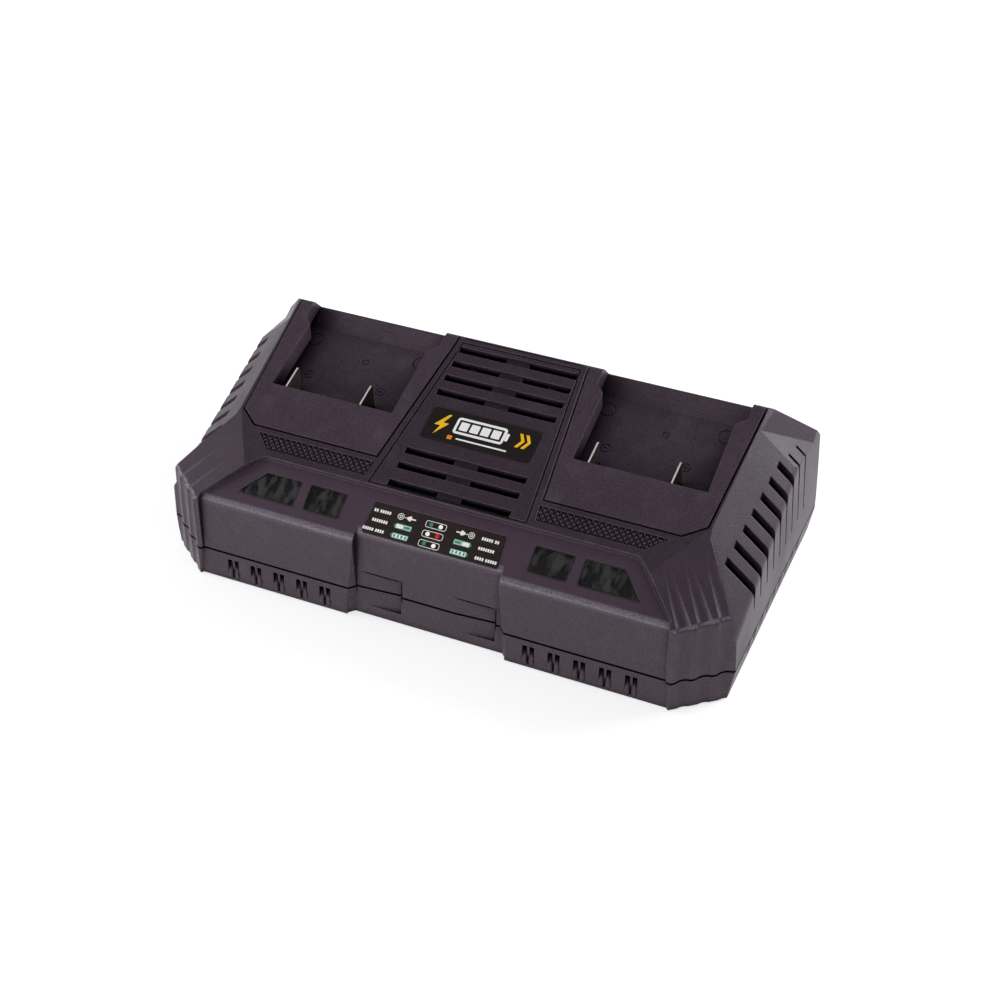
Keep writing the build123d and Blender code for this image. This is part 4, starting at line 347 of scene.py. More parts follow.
    def arris(self, normal: Socket, lean: float, half: float) -> Socket:
        """A mask of the rounded edges that face the front.

        Args:
            normal: The rounded normal.
            lean: Height of the normal in the middle of the edge, from 0, level, to 1, upright.
            half: Half the range of heights.

        Returns:
            The mask.
        """
        leaning = self.band(self.component(normal, Axis.Z), lean, half)
        facing = self.spread(self.component(normal, Axis.Y), to=FLIPPED, source=self.FRONTWARD)
        return self.product(leaning, facing)

    def bump(self, height: Socket, distance: float, strength: float, normal: Socket | None = None) -> Socket:
        """A bumped normal.

        Args:
            height: Height pattern.
            distance: Height of the bumps, in millimetres.
            strength: Share of the effect.
            normal: Normal to build on, if not the mesh's own.

        Returns:
            The normal.
        """
        inputs = {"Height": height, "Distance": distance * MM, "Strength": strength}
        if normal is not None:
            inputs["Normal"] = normal
        return self.add("ShaderNodeBump", inputs).outputs[0]


def rgba(colour: Colour, gain: float = 1.0) -> tuple[float, float, float, float]:
    """The colour as four numbers, made lighter or darker by the gain."""
    return (colour[0] * gain, colour[1] * gain, colour[2] * gain, 1.0)


@dataclass(frozen=True)
class Finish:
    """A smooth single-colour finish with slight wear, and the base of the others."""

    name: str
    colour: Colour
    roughness: float = 0.5
    metallic: float = 0.0
    specular: float = 0.5
    patch_scale: float = 60.0
    skin_scale: float = 900.0

    def material(self) -> Material:
        """Builds the material.

        Returns:
            The new material.
        """
        material = bpy.data.materials.new(self.name)
        self.dress(Graph(material))
        return material

    def tone(self, gain: float = 1.0) -> tuple[float, float, float, float]:
        """The finish's colour, made lighter or darker by the gain."""
        return rgba(self.colour, gain)

    def cloudy(self, graph: Graph, pattern: Socket, dark: float, light: float) -> Socket:
        """The finish's colour, from a dark to a light gain over a pattern."""
        return graph.mix(graph.spread(pattern, to=UNIT), self.tone(dark), self.tone(light))

    def sheen(self, graph: Graph, pattern: Socket, below: float, above: float) -> Socket:
        """The finish's roughness, from less to more over a pattern."""
        return graph.spread(pattern, to=(self.roughness - below, self.roughness + above))

    def dress(self, graph: Graph) -> None:
        """Adds faint patches and a fine skin.

        Args:
            graph: The material's nodes.
        """
        patch = graph.noise(self.patch_scale, 4.0)
        graph.shade(
            {
                "Base Color": graph.mix(patch, self.tone(0.9), self.tone(1.1)),
                "Roughness": self.sheen(graph, patch, 0.05, 0.05),
                "Metallic": self.metallic,
                "Specular IOR Level": self.specular,
                "Normal": graph.bump(graph.noise(self.skin_scale), 0.01, 0.3),
            }
        )


@dataclass(frozen=True)
class MouldedPlastic(Finish):
    """Spark-eroded plastic: fine grain, cloudy colour, scuffs, painted highlights on the edges and painted
    shade in crevices.

    With the glint share above 0, the faces that lean to the front and up also get painted light, and the
    rounded edges that face the front get a pale painted highlight, up to that share.
    """

    grain: float = 1250.0
    grain_height: float = 0.17
    grain_strength: float = 0.6
    grain_gain: Point = (0.8, 2.1)
    grain_level: Point = (0.35, 0.72)
    grain_share: float = 0.62
    # painted highlight along the convex edges: its width, colour gain and share over the clouds
    edge_radius: float = 0.65
    edge_highlight_gain: float = 4.2
    edge_highlight_share: Point = (0.5, 0.9)
    cloud_scale: float = 38.0
    cloud: float = 0.12
    sheen_range: float = 0.06
    scuff_scale: float = 90.0
    scuff_level: Point = (0.52, 0.70)
    scuff: float = 0.05
    scuff_colour: Colour = (0.25, 0.23, 0.25)
    # painted shade in crevices: its reach, the openness in the deepest crevice, and the darker colour painted
    # there
    crevice: float = 4.5
    crevice_shade: float = 0.10
    crevice_shade_gain: float = 0.04
    # painted highlight on the rounded edges that face the front: its top share over the grain, its start, the
    # lean of the normal and its colour
    rub: float = 0.0
    front_glint_start: float = 0.25
    front_glint_lean: Point = (0.66, 0.20)
    front_glint_colour: Colour = (0.24, 0.215, 0.27)
    # painted light on the faces that lean to the front and up
    front_light_lean: Point = (0.86, 0.09)
    front_light_share: float = 0.8
    front_light_gain: float = 2.3
    seams: tuple[Seam, ...] = ()
    seam_shade_gain: float = 0.03
    reflection_tint: Colour = (1.0, 0.92, 0.99)

    def skin(self, graph: Graph, grain: Socket, clouds: Socket) -> Socket:
        """The colour of the open surface.

        Args:
            graph: The material's nodes.
            grain: Pattern of the grain.
            clouds: Pattern of the clouds.

        Returns:
            The colour, with clouds, speckles and scuffs.
        """
        body = self.cloudy(graph, clouds, 1.0 - self.cloud, 1.0 + self.cloud)
        dark, light = self.grain_gain
        peaks = graph.spread(grain, to=UNIT, source=self.grain_level)
        speckles = graph.mix(peaks, self.tone(dark), self.tone(light))
        speckled = graph.mix(self.grain_share, body, speckles)
        scuffs = graph.noise(self.scuff_scale, 10.0)
        share = graph.spread(scuffs, to=(0.0, self.scuff), source=self.scuff_level)
        return graph.mix(share, speckled, rgba(self.scuff_colour))

    def paint_front_light(self, graph: Graph, colour: Socket, rounded: Socket, grain: Socket) -> Socket:
        """Paints light on the faces that lean to the front, and a pale highlight on their rounded edges.

        Args:
            graph: The material's nodes.
            colour: The colour so far.
            rounded: The rounded normal.
            grain: Pattern of the grain, whose peaks get the most painted highlight.

        Returns:
            The colour with painted light on the faces that lean to the front and up, and a pale painted
            highlight on the rounded edges below them.
        """
        # painted light on the faces that lean to the front and up
        upper = graph.product(graph.arris(rounded, *self.front_light_lean), self.front_light_share)
        colour = graph.mix(upper, colour, self.tone(self.front_light_gain))
        # pale painted highlight on the rounded front edges, strongest on the grain's peaks
        peaks = graph.spread(grain, to=(self.front_glint_start, self.rub))
        pale = graph.product(graph.arris(rounded, *self.front_glint_lean), peaks)
        return graph.mix(pale, colour, rgba(self.front_glint_colour))

    def dress(self, graph: Graph) -> None:
        """Adds grain, clouds, scuffs, painted highlights on the edges and at the front, painted shade in
        crevices and seams, and an uneven sheen.

        Args:
            graph: The material's nodes.
        """
        rounded, edge = graph.edges(self.edge_radius)
        sky = graph.openness(self.crevice, self.crevice_shade)
        grain = graph.noise(self.grain, 3.0)
        clouds = graph.noise(self.cloud_scale, 6.0)
        colour = self.skin(graph, grain, clouds)
        # painted highlight on the edges, kept out of the crevices
        edge_highlight = graph.product(graph.product(edge, sky), graph.spread(clouds, to=self.edge_highlight_share))
        colour = graph.mix(edge_highlight, colour, self.tone(self.edge_highlight_gain))
        # painted light and highlights at the front of the housing
        if self.rub > 0.0:
            colour = self.paint_front_light(graph, colour, rounded, grain)
        # painted shade: the colour darkens in crevices, where shade falls
        colour = graph.mix(sky, self.tone(self.crevice_shade_gain), colour)
        # painted shade in the seams, which also takes their reflection away
        for seam in self.seams:
            mask = graph.seam(seam)
            colour = graph.mix(mask, colour, self.tone(self.seam_shade_gain))
            sky = graph.product(sky, graph.spread(mask, to=FLIPPED, source=UNIT))
        graph.shade(
            {
                "Base Color": colour,
                "Roughness": self.sheen(graph, clouds, self.sheen_range, self.sheen_range),
                # painted shade: less reflection in crevices and seams
                "Specular IOR Level": graph.product(sky, self.specular),
                "Specular Tint": rgba(self.reflection_tint),
                "Normal": graph.bump(grain, self.grain_height, self.grain_strength, rounded),
            }
        )


@dataclass(frozen=True)
class StampedMetal(Finish):
    """Plated strip: drawn lines along its length, and sheared edges in a paler, less metallic colour that is
    partly their own and partly a painted highlight.

    With broad_x, the edges are all faces that don't look along X, as on a blade that stands across it.
    """

    line_scale: float = 300.0
    line_stretch: Triple = (1.0, 6.0, 1.0)
    stain_scale: float = 110.0
    stain: Point = (0.88, 1.06)
    edge_radius: float = 0.25
    edge_highlight_gain: float = 1.3
    edge_metal: float = 1.0
    broad_x: bool = False

    def dress(self, graph: Graph) -> None:
        """Adds drawing lines, faint stains and sheared edges with a painted highlight.

        Args:
            graph: The material's nodes.
        """
        rounded, edge = graph.edges(self.edge_radius, samples=16)
        if self.broad_x:
            flat = graph.add("ShaderNodeNewGeometry").outputs["True Normal"]
            across = graph.maths("ABSOLUTE", graph.component(flat, Axis.X))
            edge = graph.spread(across, to=FLIPPED, source=(0.3, 0.9))
        drawn = graph.noise(self.line_scale, 3.0, stretch=self.line_stretch)
        stained = self.cloudy(graph, graph.noise(self.stain_scale, 3.0), *self.stain)
        graph.shade(
            {
                # sheared edges: their own shade, made paler as a painted highlight
                "Base Color": graph.mix(edge, stained, self.tone(self.edge_highlight_gain)),
                "Metallic": graph.spread(edge, to=(self.metallic, self.edge_metal), source=UNIT),
                "Roughness": self.sheen(graph, drawn, 0.04, 0.06),
                "Normal": graph.bump(drawn, 0.004, 0.2, rounded),
            }
        )


@dataclass(frozen=True)
class PrintedFilm(Finish):
    """Laminated label stock: satin, with an orange-peel skin and pale cut edges."""

    skin_scale: float = 700.0
    streak_scale: float = 90.0
    streak_stretch: Triple = (1.0, 6.0, 6.0)
    streak: Point = (0.85, 1.15)
    cut_width: float = 0.2
    cut_gain: float = 2.4
    coat: float = 0.08
    coat_roughness: float = 0.25

    def dress(self, graph: Graph) -> None:
        """Adds the skin, faint streaks and the cut edge.

        Args:
            graph: The material's nodes.
        """
        rounded, edge = graph.edges(self.cut_width)
        skin = graph.noise(self.skin_scale)
        streak = graph.noise(self.streak_scale, 4.0, stretch=self.streak_stretch)
        body = self.cloudy(graph, streak, *self.streak)
        graph.shade(
            {
                "Base Color": graph.mix(edge, body, self.tone(self.cut_gain)),
                "Roughness": self.sheen(graph, streak, 0.05, 0.07),
                "Coat Weight": self.coat,
                "Coat Roughness": self.coat_roughness,
                "Normal": graph.bump(skin, 0.012, 0.4, rounded),
            }
        )


@dataclass(frozen=True)
class InkFilm(Finish):
    """Screen-printed ink: flat, opaque, with pinholes, a slightly uneven coat and a painted glow that makes
    it brighter than the light on it.
    """

    # strength of the painted glow
    glow: float = 0.17
    pinhole_scale: float = 2600.0
    coat_scale: float = 180.0

    def dress(self, graph: Graph) -> None:
        """Adds pinholes, an uneven coat and the painted glow.

        Args:
            graph: The material's nodes.
        """
        pinholes = graph.spread(graph.noise(self.pinhole_scale), to=(0.75, 1.0), source=(0.2, 0.32))
        coat = graph.noise(self.coat_scale, 4.0)
        graph.shade(
            {
                "Base Color": graph.mix(pinholes, self.tone(0.5), self.tone()),
                # painted glow: the ink gives off a little light of its own colour
                "Emission Color": self.tone(),
                "Emission Strength": self.glow,
                "Roughness": self.sheen(graph, coat, 0.05, 0.08),
                "Normal": graph.bump(coat, 0.01, 0.3),
            }
        )


@dataclass(frozen=True)
class SmokedClear(Finish):
    """Tinted clear moulding, polished, with faint flow marks and, where haze is above 0, hazy patches."""

    clarity: float = 0.9
    haze: float = 0.0
    glow: float = 0.0
    ior: float = 1.49
    flow_scale: float = 45.0
    haze_scale: float = 150.0
    haze_stretch: Triple = (1.7, 0.8, 0.8)
    scratch_scale: float = 500.0
    scratch_stretch: Triple = (1.0, 9.0, 1.0)

    def dress(self, graph: Graph) -> None:
        """Adds transmission, haze, flow marks and fine scratches.

        Args:
            graph: The material's nodes.
        """
        flow = graph.noise(self.flow_scale, 3.0)
        haze = graph.noise(self.haze_scale, 4.0, stretch=self.haze_stretch)
        scratch = graph.noise(self.scratch_scale, 5.0, stretch=self.scratch_stretch)
        clear = graph.spread(haze, to=(self.clarity, self.clarity - self.haze), source=(0.46, 0.60))
        graph.shade(
            {
                "Base Color": graph.mix(flow, self.tone(0.92), self.tone(1.06)),
                "Roughness": self.sheen(graph, scratch, 0.0, 0.05),
                "Transmission Weight": clear,
                "Emission Color": self.tone(),
                "Emission Strength": self.glow,
                "Specular IOR Level": self.specular,
                "IOR": self.ior,
                "Normal": graph.bump(flow, 0.05, 0.15),
            }
        )


@dataclass(frozen=True)
class MottledTray(Finish):
    """Dark reflector tray with pale, cloudy patches of stray light."""

    patch_scale: float = 150.0
    patch_stretch: Triple = (1.6, 0.7, 0.7)
    patch_gain: float = 14.0

    def dress(self, graph: Graph) -> None:
        """Adds patches with sharp borders, stretched across the tray.

        Args:
            graph: The material's nodes.
        """
        patches = graph.noise(self.patch_scale, 3.0, stretch=self.patch_stretch)
        pale = graph.spread(patches, to=UNIT, source=(0.50, 0.62))
        graph.shade(
            {
                "Base Color": graph.mix(pale, self.tone(), self.tone(self.patch_gain)),
                "Roughness": self.roughness,
                "Normal": graph.bump(patches, 0.3, 0.8),
            }
        )


@dataclass(frozen=True)
class SolderMask(Finish):
    """Circuit board with lacquer over copper tracks."""

    track: float = 260.0
    track_gain: float = 1.9

    def dress(self, graph: Graph) -> None:
        """Adds square-cornered tracks that show lighter under the lacquer.

        Args:
            graph: The material's nodes.
        """
        pattern = {"Vector": graph.place, "Scale": self.track, "Mortar Size": 0.08, "Mortar Smooth": 0.2}
        bricks = graph.add("ShaderNodeTexBrick", pattern).outputs["Fac"]
        graph.shade(
            {
                "Base Color": graph.mix(bricks, self.tone(), self.tone(self.track_gain)),
                "Roughness": graph.spread(graph.noise(300.0), to=(0.25, 0.4)),
                "Normal": graph.bump(bricks, 0.03, 0.5),
            }
        )


HOUSING_FINISH = MouldedPlastic(
    "housing_plastic", (0.0365, 0.0225, 0.0340), 0.44, specular=0.42, rub=0.9, seams=SEAMS
)
BAY_FINISH = MouldedPlastic(
    "bay_plastic",
    (0.056, 0.0360, 0.0520),
    0.42,
    specular=0.42,
    edge_radius=0.5,
    edge_highlight_gain=3.4,
    cloud=0.24,
    scuff=0.09,
    # wide, deep painted shade in the inner corners of the bays
    crevice=12.0,
    crevice_shade=0.08,
)
GRIP_FINISH = MouldedPlastic(
    "grip_plastic", (0.040, 0.0250, 0.0370), 0.42, specular=0.42, crevice=1.5, crevice_shade=0.22
)
SILL_FINISH = MouldedPlastic(
    "sill_plastic", (0.033, 0.0205, 0.0308), 0.44, specular=0.42, crevice=0.5, crevice_shade=0.5
)
BLACK_FINISH = MouldedPlastic("black_plastic", (0.012, 0.011, 0.012), 0.55, edge_highlight_gain=1.4)
BLADE_FINISH = StampedMetal(
    "contact_metal",
    (0.30, 0.25, 0.24),
    0.26,
    metallic=1.0,
    edge_radius=0.12,
    edge_highlight_gain=2.7,
    edge_metal=0.0,
    broad_x=True,
)
WINDOW_FINISH = SmokedClear(
    "smoked_window", (0.12, 0.118, 0.125), 0.03, clarity=0.99, haze=0.4, specular=0.12
)
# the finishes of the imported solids, by material slot
FINISHES: dict[str, Finish] = {
    finish.name: finish
    for finish in (
        HOUSING_FINISH,
        BAY_FINISH,
        BLACK_FINISH,
        BLADE_FINISH,
        WINDOW_FINISH,
        MouldedPlastic("carrier_plastic", (0.020, 0.018, 0.020), 0.5, grain=2600.0),
        MouldedPlastic("rubber", (0.014, 0.014, 0.014), 0.8, grain=900.0, edge_highlight_gain=1.3),
        PrintedFilm("name_plate", (0.0075, 0.0028, 0.0028), 0.36, specular=0.22),
        PrintedFilm("status_label", (0.018, 0.0085, 0.0075), 0.42, specular=0.22),
        SmokedClear("lens_green", (0.06, 0.40, 0.30), 0.25, clarity=0.2),
        SmokedClear("lens_white", (0.95, 0.94, 0.93), 0.25, clarity=0.0, glow=0.3),
        SmokedClear("lens_red", (0.85, 0.02, 0.035), 0.25, clarity=0.1, glow=0.12),
        SolderMask("circuit_board", (0.012, 0.075, 0.035)),
        StampedMetal("heat_sink_aluminium", (0.35, 0.35, 0.36), 0.4, metallic=1.0),
        StampedMetal("screw_steel", (0.48, 0.48, 0.50), 0.35, metallic=1.0),
        Finish("capacitor_sleeve", (0.02, 0.02, 0.045), 0.3),
        Finish("fuse_glass", (0.55, 0.57, 0.55), 0.15),
        Finish("transformer_core", (0.07, 0.06, 0.05), 0.6),
        Finish("lead_insulation", (0.25, 0.012, 0.012), 0.45),
        Finish("ribbon", (0.35, 0.35, 0.33), 0.5),
    )
}


# ------------------------------------------------------------------ modelling helpers
def deselect() -> None:
    """Leaves edit mode and selects nothing."""
    if bpy.context.object is not None and bpy.context.object.mode != "OBJECT":
        bpy.ops.object.mode_set(mode="OBJECT")
    bpy.ops.object.select_all(action="DESELECT")


def make_active(*pieces: Piece) -> None:
    """Selects only these pieces and makes the first one active.

    Args:
        *pieces: The pieces.
    """
    deselect()
    for piece in pieces:
        piece.select_set(True)
    bpy.context.view_layer.objects.active = pieces[0]


def new_object(name: str, data: bpy.types.ID) -> Piece:
    """Puts a new object into the scene.

    Args:
        name: Its name.
        data: Its mesh, curve, light or camera.

    Returns:
        The object.
    """
    made = bpy.data.objects.new(name, data)
    bpy.context.scene.collection.objects.link(made)
    return made


def start(primitive: Callable[..., object], **options: object) -> Piece:
    """Adds a primitive with nothing else selected.

    Args:
        primitive: The operator that adds it.
        **options: Its size and place.

    Returns:
        The mesh object, active and selected.
    """
    deselect()
    primitive(**options)
    return bpy.context.object


@contextmanager
def edit_mode() -> Iterator[None]:
    """Edit mode on the active piece, with all of its mesh selected.

    Yields:
        Nothing.
    """
    bpy.ops.object.mode_set(mode="EDIT")
    bpy.ops.mesh.select_all(action="SELECT")
    yield
    bpy.ops.object.mode_set(mode="OBJECT")


def modify(piece: Piece, kind: str, **options: object) -> None:
    """Adds a modifier to the active piece and applies it.

    Args:
        piece: The mesh object.
        kind: The modifier's type name.
        **options: Its settings.
    """
    modifier = piece.modifiers.new(kind.lower(), kind)
    for name, value in options.items():
        setattr(modifier, name, value)
    bpy.ops.object.modifier_apply(modifier=modifier.name)


def close_up(piece: Piece, gap: float = 0.0005) -> None:
    """Merges doubles and turns the faces outward.

    Args:
        piece: The mesh object.
        gap: Distance below which corners merge, in the mesh's own unit.
    """
    make_active(piece)
    with edit_mode():
        bpy.ops.mesh.remove_doubles(threshold=gap)
        bpy.ops.mesh.normals_make_consistent(inside=False)


def into_mesh(piece: Piece, place: Matrix = IDENTITY) -> None:
    """Moves the object's own place, and then this one, into its mesh."""
    piece.data.transform(place @ piece.matrix_world)
    piece.matrix_world = IDENTITY


def cover(piece: Piece, material: Material) -> None:
    """Gives the piece this material and no other."""
    piece.data.materials.clear()
    piece.data.materials.append(material)


def settle(piece: Piece, name: str, material: Material, place: Matrix) -> None:
    """Names and dresses a finished piece, puts its place in its mesh and lets it ride the housing.

    Args:
        piece: The mesh object, in local millimetres.
        name: The piece's name.
        material: Its material.
        place: Matrix from local millimetres to the frame.
    """
    into_mesh(piece, place)
    piece.name = name
    piece.data.name = name
    cover(piece, material)
    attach(piece, HOUSING)
    LOG.info("%s: %d faces", name, len(piece.data.polygons))


def join(pieces: Sequence[Piece]) -> Piece:
    """Joins meshes.

    Args:
        pieces: The mesh objects.

    Returns:
        The first of them, which holds them all.
    """
    make_active(*pieces)
    bpy.ops.object.join()
    return pieces[0]


def flat_solid(loops: Sequence[Loop], low: float, high: float) -> Piece:
    """A flat sheet with any holes, from closed loops in local millimetres.

    Args:
        loops: Outlines; one inside another is a hole.
        low: Height of the underside.
        high: Height of the face.

    Returns:
        The mesh object.
    """
    curve = bpy.data.curves.new("sheet", "CURVE")
    curve.dimensions = "2D"
    curve.fill_mode = "BOTH"
    curve.extrude = (high - low) / 2
    for loop in loops:
        spline = curve.splines.new("POLY")
        spline.points.add(len(loop) - 1)
        for point, (x, y) in zip(spline.points, loop):
            point.co = (x, y, 0.0, 1.0)
        spline.use_cyclic_u = True
    piece = new_object("sheet", curve)
    piece.location.z = (low + high) / 2
    make_active(piece)
    bpy.ops.object.convert(target="MESH")
    bpy.context.view_layer.update()
    close_up(piece)
    return piece


def rounded_box(centre: Point, size: Point, radius: float, steps: int = 6) -> Loop:
    """Outline of a rectangle with round corners.

    Args:
        centre: Its centre.
        size: Its width and height.
        radius: Radius of the corners.
        steps: Pieces per corner.

    Returns:
        The outline.
    """
    loop: Loop = []
    for corner in range(4):
        right = 1 if corner in (0, 3) else -1
        upper = 1 if corner in (0, 1) else -1
        cx = centre[0] + right * (size[0] / 2 - radius)
        cy = centre[1] + upper * (size[1] / 2 - radius)
        for step in range(steps + 1):
            turn = math.pi / 2 * (corner + step / steps)
            loop.append((cx + radius * math.cos(turn), cy + radius * math.sin(turn)))
    return loop


def ring(centre: Point, size: Point, radius: float, line: float) -> list[Loop]:
    """Outer and inner outline of a rounded frame with this line width."""
    inner = (size[0] - 2 * line, size[1] - 2 * line)
    return [rounded_box(centre, size, radius), rounded_box(centre, inner, max(radius - line, 0.05))]


def rounded_polygon(corners: Loop, inset: float, radius: float, steps: int = 6) -> Loop:
    """Outline of a convex polygon, moved inward and with round corners.

    Args:
        corners: The polygon's corners, in order.
        inset: Distance from the polygon to the outline.
        radius: Radius of the corners.
        steps: Pieces per corner.

    Returns:
        The outline.
    """
    loop: Loop = []
    points = [Vector(corner) for corner in corners]
    for index, point in enumerate(points):
        back = (points[index - 1] - point).normalized()
        on = (points[(index + 1) % len(points)] - point).normalized()
        middle = (back + on).normalized()
        half = math.acos(max(-1.0, min(1.0, back.dot(on)))) / 2
        moved_in = point + middle * (inset / math.sin(half))
        centre = moved_in + middle * (radius / math.sin(half))
        first = moved_in + back * (radius / math.tan(half)) - centre
        last = moved_in + on * (radius / math.tan(half)) - centre
        turn = math.atan2(first.cross(last), first.dot(last))
        for step in range(steps + 1):
            arm = Matrix.Rotation(turn * step / steps, 2) @ first
            loop.append(tuple(centre + arm))
    return loop


def disc(centre: Point, radius: float, steps: int = 28) -> Loop:
    """Outline of a circle."""
    turns = (2 * math.pi * step / steps for step in range(steps))
    return [(centre[0] + radius * math.cos(turn), centre[1] + radius * math.sin(turn)) for turn in turns]


def moved(loop: Sequence[Point], shift: Point, scale: Point = (1.0, 1.0)) -> Loop:
    """The loop, scaled about the origin and then shifted."""
    return [(x * scale[0] + shift[0], y * scale[1] + shift[1]) for x, y in loop]


# ------------------------------------------------------------------ sub-assemblies
@dataclass
class CadParts:
    """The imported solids, each with the finish of its material slot."""

    materials: dict[str, Material] = field(default_factory=dict)

    def build(self) -> None:
        """Gives every node its finish, made once for each slot."""
        for part in frame["record"]["subparts"]:
            slot = part["material_slot"]
            if slot not in self.materials:
                self.materials[slot] = FINISHES[slot].material()
            cover(frame["nodes"][part["node"]], self.materials[slot])
        LOG.info("dressed %d nodes in %d finishes", len(frame["nodes"]), len(self.materials))


@dataclass
class GripStrip:
    """Knurled strip in front of a bay: staggered lozenges, cut off at the edges of its seat.

    The seat's top and bottom edges are given by two X and a plan distance Y.
    """

    top: Triple = (41.2, 101.6, -31.9)
    bottom: Triple = (42.3, 93.5, -39.7)
    inset: float = 0.35
    pitch: float = 3.0
    row_pitch: float = 1.62
    floor: float = -0.92
    rise: float = 0.98
    crown: float = 0.36
    land: float = 0.97
    bevel: float = 0.16
    merge: float = 0.0001

    def levels(self) -> Point:
        """Distances up the slope of the seat's top and bottom edges."""
        return TOP.along(self.top[2]), TOP.along(self.bottom[2])

    def outline(self) -> Loop:
        """Corners of the seat on the sloping top, anticlockwise from the upper left."""
        high, low = self.levels()
        return [(self.top[0], high), (self.bottom[0], low), (self.bottom[1], low), (self.top[1], high)]

    def lozenge(self) -> Piece:
        """Models one four-sided stud with a crowned top.

        Returns:
            The stud, at the origin.
        """
        cone = bpy.ops.mesh.primitive_cone_add
        stud = start(cone, vertices=4, radius1=1.0, radius2=self.crown, depth=self.rise)
        with edit_mode():
            half = (self.pitch / 2 * self.land, self.row_pitch * self.land, 1.0)
            bpy.ops.transform.resize(value=half)
            bpy.ops.mesh.bevel(offset=self.bevel, segments=2, affect="EDGES")
        return stud

    def places(self) -> Iterator[Point]:
        """Centres of all studs that touch the seat, each second row moved by half a pitch.

        Yields:
            The place of one stud on the sloping top.
        """
        high, low = self.levels()
        rows = math.ceil((high - low) / self.row_pitch) + 1
        columns = math.ceil((self.top[1] - self.top[0]) / self.pitch) + 2
        for row in range(rows):
            for column in range(columns):
                shift = self.pitch / 2 * (row % 2)
                yield self.top[0] + column * self.pitch + shift - self.pitch / 2, high - row * self.row_pitch

    def build(self, side: Side, material: Material) -> None:
        """Lays out the studs, trims them to the seat and mirrors them to their side.

        Args:
            side: Half of the charger.
            material: The strip's material.
        """
        stud = self.lozenge()
        middle = self.floor + self.rise / 2
        studs = []
        for x, y in self.places():
            copy = new_object("stud", stud.data.copy())
            copy.data.transform(Matrix.Translation((x, y, middle)))
            studs.append(copy)
        bpy.data.objects.remove(stud)
        strip = join(studs)
        self.trim(strip)
        if side is Side.LEFT:
            strip.data.transform(Matrix.Scale(-1.0, 4, (1.0, 0.0, 0.0)))
        close_up(strip, self.merge)
        settle(strip, f"grip_strip_{side.label}", material, TOP.matrix())

    def trim(self, strip: Piece) -> None:
        """Cuts the studs along the four edges of the seat.

        Args:
            strip: The joined studs.
        """
        loop = self.outline()
        make_active(strip)
        with edit_mode():
            for first, second in zip(loop, loop[1:] + loop[:1]):
                run = Vector((second[0] - first[0], second[1] - first[1], 0.0)).normalized()
                outward = Vector((run.y, -run.x, 0.0))
                bpy.ops.mesh.select_all(action="SELECT")
                bpy.ops.mesh.bisect(
                    plane_co=Vector((*first, 0.0)) - outward * self.inset,
                    plane_no=outward,
                    use_fill=True,
                    clear_outer=True,
                )


@dataclass
class VentSills:
    """Steep sills in the lower half of the front vents, one on each side of the rib.

    The corners of the profile are given by Y and Z.
    """

    first: float = 51.2
    pitch: float = 12.2
    count: int = 5
    width: float = 5.8
    rib: float = 1.1
    gap: float = 0.04
    foot: Point = (-71.35, 1.6)
    shoulder: Point = (-71.35, 5.3)
    crest: Point = (-68.75, 10.2)
    heel: Point = (-68.75, 3.9)

    def build(self, side: Side, material: Material) -> None:
        """Makes all sills of one side as one piece.

        Args:
            side: Half of the charger.
            material: The sills' material.
        """
        profile = [self.foot, self.heel, self.crest, self.shoulder]
        sills = []
        for index in range(self.count):
            centre = side.value * (self.first + index * self.pitch)
            for way in (-1, 1):
                near = centre + way * (self.rib / 2 + self.gap)
                far = centre + way * (self.width / 2 - self.gap)
                sill = flat_solid([profile], min(near, far), max(near, far))
                into_mesh(sill)
                sills.append(sill)
        name = f"vent_sills_{side.label}"
        settle(join(sills), name, material, TO_METRES @ PROFILE_ACROSS)


@dataclass
class PrintWork:
    """A set of marks printed on one plate, one piece for each ink."""

    name: str
    plane: TiltedPlane
    lift: float
    thickness: float = 0.05
    layer_step: float = 0.3
    sunk: float = 0.02
    roughness: float = 0.45
    marks: dict[Ink, list[Loop]] = field(default_factory=dict)

    def add(self, ink: Ink, *loops: Loop) -> None:
        """Adds outlines in this ink."""
        self.marks.setdefault(ink, []).extend(loops)

    def build(self) -> None:
        """Makes one thin solid for each ink, each a little higher than the one before."""
        for layer, (ink, loops) in enumerate(self.marks.items()):
            tone = ink.name.lower()
            sheet = flat_solid(loops, -self.sunk, self.thickness * (1 + self.layer_step * layer))
            material = InkFilm(f"ink_{tone}_{self.name}", ink.value, self.roughness).material()
            settle(sheet, f"{self.name}_print_{tone}", material, self.plane.matrix(self.lift))


